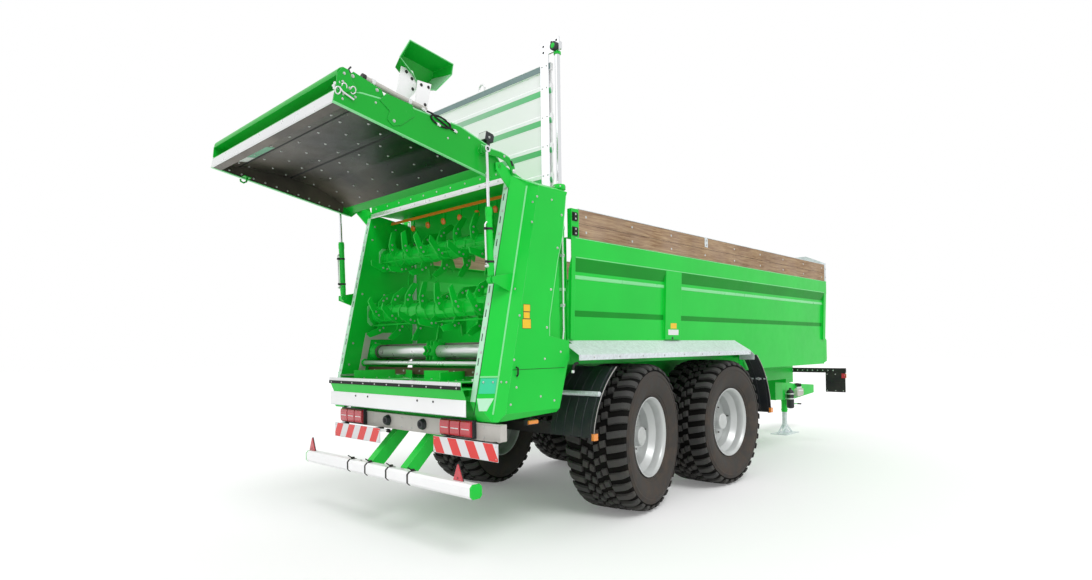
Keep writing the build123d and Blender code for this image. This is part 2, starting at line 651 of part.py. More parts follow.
# the top slopes down outwards, and the foot is turned under
TOP_DROP = 92.0
FOOT_TURN = 62.0
top_cut = [(FLANGE_X + 6, CABINET_TOP), (CASING_X + 2, CABINET_TOP - TOP_DROP), (CASING_X + 2,
    CABINET_TOP + 5), (FLANGE_X + 6, CABINET_TOP + 5)]
foot_cut = [(CASING_X - FOOT_TURN, CASING_LOW_Z - 10), (CASING_X + 1, CASING_LOW_Z + FOOT_TURN),
    (CASING_X + 1, CASING_LOW_Z - 10)]
for cut_line in (top_cut, foot_cut):
    casing = casing - cross_prism(cut_line, -4000, -2900)

# hinge lugs of the hatch stand on the casings
LUG_IN = HATCH_HALF + RUN
LUG_OUT = LUG_IN + 12
lug = side_prism(
    [(HINGE_Y + 315, CABINET_TOP - 30), (edge_y(2700), 2700), (HINGE_Y - 34, HINGE_Z - 30),
     (HINGE_Y - 34, HINGE_Z + 22), (HINGE_Y + 24, HINGE_Z + 34), (HINGE_Y + 60, HINGE_Z + 10)],
    LUG_IN, LUG_OUT)
lug = lug - rod_x(bore_radius(HINGE_PIN_R), LUG_IN - 5, LUG_OUT + 5, HINGE_Y, HINGE_Z)
foot_y, foot_z = HATCH_CYL_BASE
base_lug = side_prism(
    [(edge_y(foot_z + 70) + 125, foot_z + 70), (foot_y - 22, foot_z + 22), (foot_y - 22, foot_z - 22),
     (edge_y(foot_z - 90) + 125, foot_z - 90)],
    HATCH_CYL_X + 38, HATCH_CYL_X + 50)
base_pin = rod_x(BASE_PIN_R, HATCH_CYL_X - 24, HATCH_CYL_X + 50, foot_y, foot_z, journal=True)
save_pair("casing", casing + lug + base_lug + base_pin)

beam_line = [
    (edge_y(CABINET_TOP - 46), CABINET_TOP - 46), (edge_y(CABINET_TOP - 6), CABINET_TOP - 6), (-3230,
    CABINET_TOP - 6),
]
save("top_beam", side_prism(sheet_line(beam_line, -SHEET), -WALL_X, WALL_X))

tray_line = [(CASING_FRONT_Y, TABLE_Z), (TABLE_REAR_Y, TABLE_Z), (TABLE_REAR_Y, TABLE_Z + 50)]
tray = side_prism(sheet_line(tray_line, SHEET), -WALL_X, WALL_X)
skirt_line = [(TABLE_REAR_Y + 6, TABLE_Z), (-3862, 1112), (-3862, 1085)]
tray = tray + side_prism(sheet_line(skirt_line, SHEET), -WALL_X, WALL_X)
tray = tray + block(-DISC_X - 90, DISC_X + 90, DISC_Y - 80, DISC_Y + 80, TAIL_TOP, TABLE_Z)
for x in (-DISC_X, DISC_X):
    tray = tray + rod_z(55, TABLE_Z - 1, DISC_Z, x, DISC_Y)
save("spreader_table", tray)
save("apron", block(-1000, 948, -3866, -3862, 990, 1112))


# ---- beaters ------------------------------------------------------------
# half of the blade's outline, as shares of the tip radius: out along the leading edge, back along the other
BLADE_ARM = [
    (0.28, 0.37), (0.60, 0.31), (0.84, 0.10), (0.995, -0.05), (0.96, -0.24), (0.78, -0.13), (0.56,
    0.05), (0.36, 0.02),
]


def blade(angle):
    """S-shaped blade across the rotor, turned by an angle about X."""
    near = [(a * BEATER_R, b * BEATER_R) for a, b in BLADE_ARM]
    far = [(-a, -b) for a, b in near]
    face = make_face(Polyline(*near, *far, close=True))
    return Rot(angle, 0, 0) * extrude(Plane.YZ.offset(-BLADE_THICK / 2) * face, BLADE_THICK)


def beater(y, z, phase):
    """Rotor: tube, journals and the blades in a slow helix."""
    rotor = Rot(0, 90, 0) * many_sided(BEATER_TUBE_R, 2 * WALL_X - 30, BAR_SIDES)
    rotor = rotor + Rot(0, 90, 0) * many_sided(42, 2 * WALL_X - 2 * SEAT, BAR_SIDES, journal=True)
    for i in range(BEATER_BARS):
        bar_angle = 2 * pi * i / BEATER_BARS + radians(phase)
        bar_y = BEATER_BAR_PLACE * BEATER_R * cos(bar_angle)
        bar_z = BEATER_BAR_PLACE * BEATER_R * sin(bar_angle)
        rotor = rotor + rod_x(7, 12 - WALL_X, WALL_X - 12, bar_y, bar_z, 4)
        for x in (25 - WALL_X, WALL_X - 25):
            web = side_prism([(0, -9), (bar_y * 1.01, bar_z * 1.01 - 9), (bar_y * 1.01,
                bar_z * 1.01 + 9), (0, 9)], x - 4, x + 4)
            rotor = rotor + web
    for i in range(BEATER_COUNT):
        x = (i - (BEATER_COUNT - 1) / 2) * BEATER_PITCH
        rotor = rotor + Pos(x, 0, 0) * blade(phase + BEATER_TWIST * i + 90 * (i % 2))
    return Pos(0, y, z) * rotor


save("beater_upper", beater(UPPER_BEATER_Y, UPPER_BEATER_Z, 20))
save("beater_lower", beater(LOWER_BEATER_Y, LOWER_BEATER_Z, 60))


def spinner(x, phase):
    """Spreading disc with its vanes."""
    top = DISC_Z + SEAT + DISC_THICK
    disc = rod_z(DISC_R, DISC_Z + SEAT, top, 0, 0, DISC_SIDES) + rod_z(72, top, top + 26, 0, 0,
        BAR_SIDES, journal=True)
    for i in range(VANE_COUNT):
        vane = block(68, DISC_R - 4, -4, 4, top, top + VANE_HEIGHT)
        disc = disc + Rot(0, 0, phase + 360 * i / VANE_COUNT) * vane
    return Pos(x, DISC_Y, 0) * disc


save("disc_right", spinner(DISC_X, 20))
save("disc_left", spinner(-DISC_X, 65))


# ---- scraper floor ------------------------------------------------------
LINK_HALF = 7.0
CHAIN_BENDS = 5             # folds of the chain round each end
SLAT_HEIGHT = 28.0


def racetrack(radius, x0, x1):
    """Solid between the rear shaft and the front idler, of one radius all round."""
    outline = []
    for end_y, first in ((CHAIN_FRONT_Y, -90), (SHAFT_Y, 90)):
        for i in range(CHAIN_BENDS + 1):
            angle = radians(first + 180 * i / CHAIN_BENDS)
            outline.append((end_y + radius * cos(angle), SHAFT_Z + radius * sin(angle)))
    return side_prism(outline, x0, x1)


chains = None
for x in CHAIN_LINES:
    strand = racetrack(CHAIN_R + LINK_HALF, x - 12, x + 12) - racetrack(CHAIN_R - LINK_HALF, x - 13, x + 13)
    chains = strand if chains is None else chains + strand
slat_count = int((CHAIN_FRONT_Y - SHAFT_Y) // SLAT_PITCH)
slats = []
for i in range(slat_count + 1):
    y = SHAFT_Y + SLAT_FIRST + i * SLAT_PITCH
    for x0, x1 in ((-CHAIN_X + 6, -36), (36, CHAIN_X - 6)):
        slats.append(block(x0, x1, y - 20, y + 20, SHAFT_Z + CHAIN_R + LINK_HALF - SLAT_HEIGHT + 4,
            SHAFT_Z + CHAIN_R + LINK_HALF + 4))
        slats.append(block(x0, x1, y - 20, y + 20, SHAFT_Z - CHAIN_R - LINK_HALF - 4,
            SHAFT_Z - CHAIN_R + LINK_HALF))
for slat in slats:
    chains = chains + slat
save("floor_chain", chains)


def sprocket(x):
    """Toothed wheel that carries a chain, inside the chain's loop."""
    teeth = 2 * CHAIN_BENDS
    tip = (CHAIN_R - LINK_HALF) * cos(pi / teeth)
    points = []
    for i in range(teeth):
        for share, radius in ((-0.5, SHAFT_R), (-0.14, tip), (0.14, tip)):
            angle = 2 * pi * (i + share) / teeth
            points.append((SHAFT_Y + radius * cos(angle), SHAFT_Z + radius * sin(angle)))
    return side_prism(points, x - 14, x + 14)


shafts = rod_x(SHAFT_R, -WALL_X + SEAT, WALL_X - SEAT, SHAFT_Y, SHAFT_Z)
for x in CHAIN_LINES:
    shafts = shafts + sprocket(x)
save("chain_shaft", shafts)


# ---- guillotine door ----------------------------------------------------
door = block(-DOOR_HALF, DOOR_HALF, DOOR_Y - 4, DOOR_Y + 4, DOOR_BOTTOM, DOOR_TOP)
# pressed ribs: a short upper slope, a flat, and a long lower slope
RIB_TOPS = [DOOR_TOP - 160 - i * RIB_PITCH for i in range(RIB_COUNT)]
for top_z in RIB_TOPS:
    rib = [(0, top_z), (-DOOR_THICK / 2, top_z - 16), (-DOOR_THICK / 2, top_z - 44), (0, top_z - 88)]
    for turn in (1, -1):
        door = door + side_prism([(DOOR_Y + turn * y, z) for y, z in rib], -DOOR_HALF, DOOR_HALF)
door = door + block(-DOOR_HALF, DOOR_HALF, DOOR_Y - DOOR_THICK / 2, DOOR_Y + DOOR_THICK / 2,
    DOOR_TOP - 56, DOOR_TOP)
door = door + block(-DOOR_HALF, DOOR_HALF, DOOR_Y - DOOR_THICK / 2, DOOR_Y + DOOR_THICK / 2,
    DOOR_BOTTOM, DOOR_BOTTOM + 40)
save("door_panel", door)

ROD_TOP = DOOR_TOP + 90
ROD_REACH = 70.0            # length of rod inside the barrel with the door raised
rods = both(rod_z(LIFT_ROD_R, LIFT_TOP - ROD_REACH, ROD_TOP, LIFT_X, DOOR_Y))
arms = both(block(POST_REACH[0], LIFT_X + 40, DOOR_Y - 25, DOOR_Y - 15, ROD_TOP - 20, ROD_TOP + 90))
arms = arms + both(block(POST_REACH[1] - 50, LIFT_X + 30, DOOR_Y - 15, DOOR_Y + 25, ROD_TOP, ROD_TOP + 60))
posts = both(block(*POST_REACH, DOOR_Y - 25, DOOR_Y - DOOR_THICK / 2, DOOR_BOTTOM, ROD_TOP - 20))
save("door_rods", rods + arms + posts)

lift_barrel = rod_z(LIFT_BARREL_R, LIFT_BOTTOM, LIFT_TOP - 40, LIFT_X, DOOR_Y)
lift_barrel = lift_barrel + rod_z(LIFT_BARREL_R + 12, LIFT_TOP - 40, LIFT_TOP, LIFT_X, DOOR_Y)
for z in (LIFT_BOTTOM + 40, LIFT_TOP - 120):
    lift_barrel = lift_barrel + block(GUIDE_OUT, LIFT_X, DOOR_Y - 25, DOOR_Y + 25, z, z + 40)
lift_barrel = lift_barrel - rod_z(bore_radius(LIFT_ROD_R), LIFT_BOTTOM + 20, LIFT_TOP + 1, LIFT_X, DOOR_Y)
save("lift_barrels", both(lift_barrel))

guide_line = [
    (DOOR_HALF - 8, GUIDE_REAR), (GUIDE_OUT, GUIDE_REAR), (GUIDE_OUT, GUIDE_FRONT), (DOOR_HALF - 40,
    GUIDE_FRONT),
]
save("door_guides", both(flat_prism(sheet_line(guide_line, 6), LIFT_BOTTOM, CABINET_TOP - 20)))


# ---- rear hatch, modelled closed to the hinge frame and raised ----------
def raise_hatch(solid):
    """Places a piece given in the hatch's own axes: x, distance along it, distance above its hinge."""
    return Pos(0, HINGE_Y, HINGE_Z) * Rot(-HATCH_ANGLE, 0, 0) * solid


def hatch_prism(points, x0, x1):
    """Profile of (distance along, height) points in hatch coordinates."""
    return side_prism([(-s, t) for s, t in points], x0, x1)


# lower faces of the arched skin, and top edge of the side plates, as (distance along, height)
SKIN_LINE = [(90, -60), (250, 8), (450, 52), (750, 45), (1100, -10), (1275, -68)]
PLATE_TOP = [(0, 50), (135, 115), (393, 144), (800, 95), (1160, 22), (HATCH_LENGTH, -30)]
plate_outline = [(-34, -26), (-34, 26)] + PLATE_TOP + [(HATCH_LENGTH, HATCH_LIP), (60, HATCH_LIP), (0, -36)]
skin_x = HATCH_HALF - HATCH_PLATE
hatch_side = hatch_prism(plate_outline, skin_x, HATCH_HALF)
skin = hatch_prism(sheet_line(SKIN_LINE, SHEET), -skin_x, skin_x)
cross_bars = [
    [(70, -78), (130, -50), (150, -30), (128, 40), (70, 20)],
    [(400, 44), (470, 56), (470, 112), (400, 104)],
    [(820, 37), (880, 27), (880, 78), (820, 82)],
    [(1262, -100), (HATCH_LENGTH, HATCH_LIP), (HATCH_LENGTH, -30), (1262, -16)],
]
hatch = both(hatch_side) + skin
for bar_outline in cross_bars:
    hatch = hatch + hatch_prism(bar_outline, -skin_x, skin_x)
top_s, top_t = HATCH_CYL_TOP
PAD_OUT = HATCH_CYL_X - 18 - RUN
ARM_IN = HATCH_CYL_X - 33
hinge_pins = both(rod_x(HINGE_PIN_R, HATCH_HALF - 30, LUG_OUT + 4, 0, 0, BAR_SIDES, journal=True))
eye_pad = both(rod_x(30, HATCH_HALF, PAD_OUT, -top_s, top_t, 8))
hatch = raise_hatch(hatch + hinge_pins + eye_pad)
# curved arm over the hinge, outside each side plate
arm_outline = [
    (-3762, 2905), (-3755, 2968), (-3668, 2956), (-3560, 2952), (-3477, 2929), (-3430, 2885), (-3416,
    2834), (-3425, 2808),
    (-3452, 2808), (-3470, 2850), (-3510, 2890), (-3600, 2908),
]
hatch = hatch + both(side_prism(arm_outline, ARM_IN, ARM_IN + HATCH_PLATE))
save("hatch_frame", hatch)
lining = hatch_prism(sheet_line(SKIN_LINE[1:-1], -6), -skin_x + 2, skin_x - 2)
save("hatch_lining", raise_hatch(lining))
ROLL_R = 47.0
ROLL_S = HATCH_LENGTH - 39             # middle of the half-round roll
ROLL_T = 78.0
roll_arc = []
for i in range(9):
    angle = radians(-100 + 25 * i)
    roll_arc.append((ROLL_S + ROLL_R * sin(angle), ROLL_T + ROLL_R * cos(angle)))
roll = hatch_prism(sheet_line(roll_arc, 4), -HATCH_HALF, HATCH_HALF)
roll_arms = both(hatch_prism(
    [(HATCH_LENGTH - 150, 20), (HATCH_LENGTH - 50, -30), (HATCH_LENGTH, -20), (ROLL_S + 47,
    ROLL_T - 16), (ROLL_S + 20, ROLL_T + 42),
     (ROLL_S - 20, ROLL_T + 42), (ROLL_S - 50, ROLL_T - 8)],
    HATCH_HALF, HATCH_HALF + HATCH_PLATE))
save("hatch_roll", raise_hatch(roll + roll_arms))

# border hood: a faceted scoop on two bracket plates that stand on the hatch
HOOD_CORNERS = [
    (0, 0, 0), (0, 369, -50), (-20, 371, -119), (-90, 281, -239), (-90, 139, -258), (-70, 72, -188),
    (-35, -59, -121),
]
HOOD_RIM = (930, -4298, 3577)
HOOD_DEPTH = 150.0          # width of the scoop, inwards


def hood_ring(shift, shrink):
    """The scoop's corners, moved inwards by a distance and drawn towards their middle."""
    count = len(HOOD_CORNERS)
    middle = [sum(corner[i] for corner in HOOD_CORNERS) / count for i in range(3)]
    ring = []
    for corner in HOOD_CORNERS:
        point = [HOOD_RIM[i] + middle[i] + (corner[i] - middle[i]) * shrink for i in range(3)]
        ring.append((point[0] - shift, point[1], point[2]))
    return ring


def strip_between(here, there):
    """Triangles between two rings."""
    faces = []
    for i in range(len(here)):
        j = (i + 1) % len(here)
        faces.append(Face(Wire.make_polygon([here[i], here[j], there[j]])))
        faces.append(Face(Wire.make_polygon([here[i], there[j], there[i]])))
    return faces


def fan(ring):
    """Triangles that close a ring."""
    middle = tuple(sum(point[i] for point in ring) / len(ring) for i in range(3))
    return [Face(Wire.make_polygon([ring[i], ring[(i + 1) % len(ring)], middle])) for i in range(len(ring))]


rim_ring = hood_ring(0, 1.0)
back_ring = hood_ring(HOOD_DEPTH, 0.72)
mouth_ring = hood_ring(0, 0.965)
floor_ring = hood_ring(HOOD_DEPTH - 7, 0.69)
scoop_faces = strip_between(rim_ring, back_ring) + fan(back_ring) + strip_between(rim_ring, mouth_ring)
scoop = Solid(Shell(scoop_faces + strip_between(mouth_ring, floor_ring) + fan(floor_ring)))
left_bracket = [
    (-4309, 3423), (-4217, 3416), (-4186, 3346), (-4198, 3273), (-4261, 3203), (-4322, 3126), (-4343,
    3065), (-4402, 3055),
    (-4392, 3091), (-4340, 3267),
]
right_bracket = [
    (-4219, 3335), (-4104, 3338), (-4126, 3241), (-4148, 3140), (-4190, 3016), (-4262, 3030), (-4236, 3211),
]
brackets = side_prism(left_bracket, 836, 844) + side_prism(right_bracket, 896, 904)
brackets = brackets + block(826, 900, -4170, -4110, 3316, 3330)
brackets = brackets - raise_hatch(skin + hatch_prism(cross_bars[2], -skin_x, skin_x))
save("hatch_hood", scoop + brackets)


# ---- hatch cylinders ----------------------------------------------------
def hatch_point(s, t):
    """Y and Z of a point given in hatch coordinates."""
    a = radians(HATCH_ANGLE)
    return HINGE_Y - s * cos(a) + t * sin(a), HINGE_Z + s * sin(a) + t * cos(a)


rod_eye_y, rod_eye_z = hatch_point(top_s, top_t)
CYL_LENGTH = hypot(rod_eye_y - foot_y, rod_eye_z - foot_z)
CYL_TILT = degrees(atan2(-(rod_eye_y - foot_y), rod_eye_z - foot_z))


def along_cylinder(solid):
    """Places a piece drawn upwards from the lower pin."""
    return Pos(HATCH_CYL_X, foot_y, foot_z) * Rot(CYL_TILT, 0, 0) * solid


def upright(radius, low, high, sides=BAR_SIDES):
    """Bar on the cylinder's own axis."""
    return Pos(0, 0, (low + high) / 2) * many_sided(radius, high - low, sides)


BARREL_LOW = 30.0
EYE_R_HATCH = 28.0
barrel_top = BARREL_LOW + HATCH_BARREL_LENGTH
barrel = upright(HATCH_BARREL_R, BARREL_LOW, barrel_top)
barrel = barrel - upright(bore_radius(HATCH_ROD_R), BARREL_LOW + 10, barrel_top + 1)
low_eye = Rot(0, 90, 0) * many_sided(EYE_R_HATCH, 40) + Pos(0, 0, BARREL_LOW + 4) * Box(30, 34, 24)
low_eye = low_eye - Rot(0, 90, 0) * many_sided(bore_radius(BASE_PIN_R), 60)
save_pair("hatch_barrel", along_cylinder(barrel + low_eye))
rod_low = CYL_LENGTH - HATCH_ROD_LENGTH
rod = upright(HATCH_ROD_R, rod_low, CYL_LENGTH - 20)
rod_head = Pos(0, 0, CYL_LENGTH) * Rot(0, 90, 0) * (many_sided(26, 36) - many_sided(13, 60))
save_pair("hatch_rod", along_cylinder(rod + rod_head))


# ---- lamps, marker boards and underrun bar ------------------------------
LAMP_BEAM_Y = -3750.0
beam = block(-930, 1190, LAMP_BEAM_Y - 4, LAMP_BEAM_Y + 60, 820, 940)
beam_arms = both(block(RAIL_X - 30, RAIL_X + 30, LAMP_BEAM_Y + 60, TAIL_REAR_Y + 60, 880, RAIL_BOTTOM))
save("lamp_beam", beam + beam_arms)
lamps = block(-930, -560, LAMP_BEAM_Y - 60, LAMP_BEAM_Y - 4, 830, 955) + block(560, 930,
    LAMP_BEAM_Y - 60, LAMP_BEAM_Y - 4, 830, 955)
caps = [rod_y(45, LAMP_BEAM_Y - 44, LAMP_BEAM_Y - 4, x, 885) for x in (-180, 330)]
save("tail_lamps", lamps + caps[0] + caps[1])
boards = block(-950, -200, -3852, -3846, 700, 826) + block(540, 1270, -3852, -3846, 700, 826)
board_stays = [block(x - 15, x + 15, -3846, LAMP_BEAM_Y - 4, 790, 822) for x in (-880, -300, 620, 1150)]
for stay in board_stays:
    boards = boards + stay
save("rear_boards", boards)

BAR_Y = -3970.0
BAR_Z = 510.0
bar_section = [(-50, -30), (-30, -50), (30, -50), (50, -30), (50, 30), (30, 50), (-30, 50), (-50, 30)]
underrun = side_prism([(BAR_Y + a, BAR_Z + b) for a, b in bar_section], -1180, 1180)
BAR_MOUNT_Y = TAIL_REAR_Y + 150
bar_arm = side_prism(
    [(BAR_Y + 50, BAR_Z - 40), (BAR_Y + 110, BAR_Z - 40), (BAR_MOUNT_Y, RAIL_BOTTOM - 60),
    (BAR_MOUNT_Y, RAIL_BOTTOM),
     (BAR_MOUNT_Y - 80, RAIL_BOTTOM), (BAR_Y + 50, BAR_Z + 50)],
    205, 285)
save("underrun_bar", underrun)
save("underrun_arms", both(bar_arm) + block(-RAIL_X, RAIL_X, BAR_MOUNT_Y - 80, BAR_MOUNT_Y,
    RAIL_BOTTOM - 50, RAIL_BOTTOM))

panel = block(990, 1270, 2944, 2950, 780, 1062)
marker_arm = block(RAIL_X + RAIL_WIDTH / 2, 1250, 2950, 2960, 1062, 1130)
save("front_boards", both(panel + marker_arm + block(1200, 1270, 2950, 2990, 1062, 1130)))

pto_stub = Pos(0, RAIL_FRONT_Y + 80, PTO_Z) * Rot(90, 0, 0) * Cylinder(PTO_R, 80)
driveline = rod_y(60, RAIL_FRONT_Y - 200, RAIL_FRONT_Y + 40, 0, PTO_Z, 16) + pto_stub
carrier = block(-RAIL_IN, RAIL_IN, RAIL_FRONT_Y - 160, RAIL_FRONT_Y - 60, PTO_Z - 75, PTO_Z + 80)
save("driveline", driveline + carrier)
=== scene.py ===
import itertools
import math

import bmesh
import bpy
from mathutils import Matrix, Vector


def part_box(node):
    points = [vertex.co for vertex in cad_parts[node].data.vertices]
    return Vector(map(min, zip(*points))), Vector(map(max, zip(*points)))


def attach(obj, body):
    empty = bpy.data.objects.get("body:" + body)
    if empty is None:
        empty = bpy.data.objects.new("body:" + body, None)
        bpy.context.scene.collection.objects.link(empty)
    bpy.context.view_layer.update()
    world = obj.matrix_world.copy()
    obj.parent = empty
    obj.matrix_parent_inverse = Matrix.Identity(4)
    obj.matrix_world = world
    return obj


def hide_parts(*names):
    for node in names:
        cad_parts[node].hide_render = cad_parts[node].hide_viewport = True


bl_info = {
    "name": "Manure Spreader",
    "version": (1, 0, 0),
    "blender": (4, 5, 0),
    "location": "View3D > Sidebar > Spreader",
    "description": "Details and finishes of a tandem-axle manure spreader, built over its CAD frame",
    "category": "Object",
}

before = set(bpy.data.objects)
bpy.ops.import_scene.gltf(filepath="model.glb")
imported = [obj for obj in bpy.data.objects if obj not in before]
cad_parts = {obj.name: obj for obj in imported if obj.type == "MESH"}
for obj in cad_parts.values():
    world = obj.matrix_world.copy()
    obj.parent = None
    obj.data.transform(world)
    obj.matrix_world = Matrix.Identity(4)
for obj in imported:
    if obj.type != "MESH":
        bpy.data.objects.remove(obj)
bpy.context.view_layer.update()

# ---- directions -------------------------------------------------------------
SIDES = ((1, "right"), (-1, "left"))
HANDS = (1, -1)
OUT = (1, 0, 0)
BACK = (0, -1, 0)
UP = (0, 0, 1)
DOWN = (0, 0, -1)

# ---- measures taken from the frame --------------------------------------------
BAR_CENTRE = sum(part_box("underrun_bar"), Vector()) / 2
TABLE_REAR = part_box("spreader_table")[0].y
APRON_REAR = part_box("apron")[0].y
LAMP_BEAM_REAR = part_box("lamp_beam")[0].y
LENS_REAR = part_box("tail_lamps")[0].y
REAR_BOARD_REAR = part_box("rear_boards")[0].y

# ---- measures of the frame's solids ---------------------------------------------
REST_STEER = math.radians(11.3)
TYRE_R = 0.665
TYRE_HALF = 0.2925
CASING_FACE = 1.2
CASING_FOLD = 1.110             # where the casing's rear faces bend a second time
FLANGE_X = 1.005
CABINET_HALF = 0.944
SHAFT_Y, SHAFT_Z = -3.410, 1.465
BEATERS = (("upper", -3.265, 2.365, 20), ("lower", -3.400, 1.825, 60))      # name, axle's y and z, first blade's turn
DISC_X, DISC_Y, DISC_TOP = 0.468, -3.430, 1.2335
DOOR_Y = -2.960
DOOR_HALF = 0.997
LIFT_X = 1.062
JACK_Y = 3.780
DRAWBAR_CHEEK = 0.110

# the raised hatch
HINGE = Vector((0.0, -3.565, 2.848))
HATCH_TILT = math.radians(10.5)
HATCH_HALF = 0.993
HATCH_EYE = (0.178, 0.051)      # cylinder eye, along the hatch and above its hinge
HATCH_LIP = -0.108
HATCH_LENGTH = 1.335


def hatch_place():
    """Matrix from the hatch's own axes, with its hinge at the origin, to its raised place."""
    return Matrix.Translation(HINGE) @ Matrix.Rotation(-HATCH_TILT, 4, "X")


def rear_edge_y(z):
    """Y of the cabinet's slanting rear edge at a height."""
    return -3.45 - 0.37 * (2.8 - z) / 1.7


# ---- rows of places -----------------------------------------------------------
def row(start, step, count):
    """Evenly spaced values."""
    return [start + step * i for i in range(count)]


def grid(*parts):
    """Every place whose coordinates come from three values or rows of values."""
    return itertools.product(*(part if isinstance(part, (list, tuple)) else (part,) for part in parts))


def at_x(x, places):
    """Places in a plane across X, each given as (y, z)."""
    return [(x, y, z) for y, z in places]


def round_points(centre, first, second, count, phase=0.0, closed=False):
    """Points round a centre, in the plane of two vectors whose lengths are the radii."""
    centre, first, second = Vector(centre), Vector(first), Vector(second)
    turns = [2 * math.pi * i / count + phase for i in range(count + closed)]
    return [centre + first * math.cos(turn) + second * math.sin(turn) for turn in turns]


# ---- colours ----------------------------------------------------------------
def srgb(red, green, blue):
    """Colour of three 0 to 255 values as a scene-linear RGBA tuple."""
    linear = []
    for value in (red, green, blue):
        share = value / 255
        linear.append(share / 12.92 if share <= 0.04045 else ((share + 0.055) / 1.055) ** 2.4)
    return (*linear, 1.0)


WHITE = (1.0, 1.0, 1.0, 1.0)
GREEN = srgb(14, 204, 60)
# pale copy of the green paint: a painted highlight for edges, flanges and rims
PAINTED_HIGHLIGHT_GREEN = srgb(130, 226, 150)
DUST = srgb(120, 104, 84)


# ---- node helpers -----------------------------------------------------------
def connect(tree, socket, value):
    """Links a socket's input to another socket, or sets it to a plain value."""
    if isinstance(value, bpy.types.NodeSocket):
        tree.links.new(value, socket)
    else:
        socket.default_value = value


def add_node(tree, kind, settings=None, **inputs):
    """Adds a node. An input is given by its name with underscores, or as in0, in1; sockets are linked."""
    node = tree.nodes.new(kind)
    for key, value in (settings or {}).items():
        setattr(node, key, value)
    for key, value in inputs.items():
        numbered = key[:2] == "in" and key[2:].isdigit()
        connect(tree, node.inputs[int(key[2:]) if numbered else key.replace("_", " ")], value)
    return node


def object_place(tree):
    return tree.nodes.new("ShaderNodeTexCoord").outputs["Object"]


def along(tree, axis):
    """Distance along one axis."""
    return add_node(tree, "ShaderNodeSeparateXYZ", Vector=object_place(tree)).outputs[axis]


def noise(tree, place, **inputs):
    return add_node(tree, "ShaderNodeTexNoise", Vector=place, **inputs).outputs["Fac"]


def maths(tree, operation, first, second=0.0, third=0.0, clamp=False):
    """Math node's output."""
    settings = {"operation": operation, "use_clamp": clamp}
    return add_node(tree, "ShaderNodeMath", settings, in0=first, in1=second, in2=third).outputs[0]


def blend_colour(tree, factor, first, second):
    """Mixes two colours."""
    return add_node(tree, "ShaderNodeMix", {"data_type": "RGBA"}, in0=factor, in6=first, in7=second).outputs[2]


def remap(tree, value, low, high, to_low=0.0, to_high=1.0):
    """Maps a value's range to another, clamped."""
    return add_node(tree, "ShaderNodeMapRange", {"clamp": True}, Value=value, From_Min=low, From_Max=high,
                    To_Min=to_low, To_Max=to_high).outputs[0]


def seen_rays(tree):
    """1 for rays from the camera, mirrors and glass, and 0 for light that falls on a surface."""
    rays = tree.nodes.new("ShaderNodeLightPath")
    seen = maths(tree, "MAXIMUM", rays.outputs["Is Camera Ray"], rays.outputs["Is Glossy Ray"])
    return maths(tree, "MAXIMUM", seen, rays.outputs["Is Transmission Ray"])


# ---- shared node groups -------------------------------------------------------
FLOAT = "NodeSocketFloat"
COLOUR = "NodeSocketColor"
VECTOR = "NodeSocketVector"


def new_group(name, inputs, outputs):
    """Empty shader node group with named sockets; returns it with its inlet's and outlet's sockets."""
    group = bpy.data.node_groups.new(name, "ShaderNodeTree")
    for label, kind, value in inputs:
        group.interface.new_socket(name=label, in_out="INPUT", socket_type=kind).default_value = value
    for label, kind in outputs:
        group.interface.new_socket(name=label, in_out="OUTPUT", socket_type=kind)
    return group, group.nodes.new("NodeGroupInput").outputs, group.nodes.new("NodeGroupOutput").inputs


def soft_edges_group():
    """Rounded look of sharp edges, and a mask of those edges."""
    group, given, result = new_group("Soft Edges", [("Radius", FLOAT, 0.003)], [("Normal", VECTOR), ("Edge", FLOAT)])
    rounded = add_node(group, "ShaderNodeBevel", {"samples": 4}, Radius=given["Radius"]).outputs[0]
    true_normal = group.nodes.new("ShaderNodeNewGeometry").outputs["Normal"]
    facing = add_node(group, "ShaderNodeVectorMath", {"operation": "DOT_PRODUCT"}, in0=rounded, in1=true_normal)
    connect(group, result["Normal"], rounded)
    connect(group, result["Edge"], remap(group, facing.outputs["Value"], 0.995, 0.85))
    return group


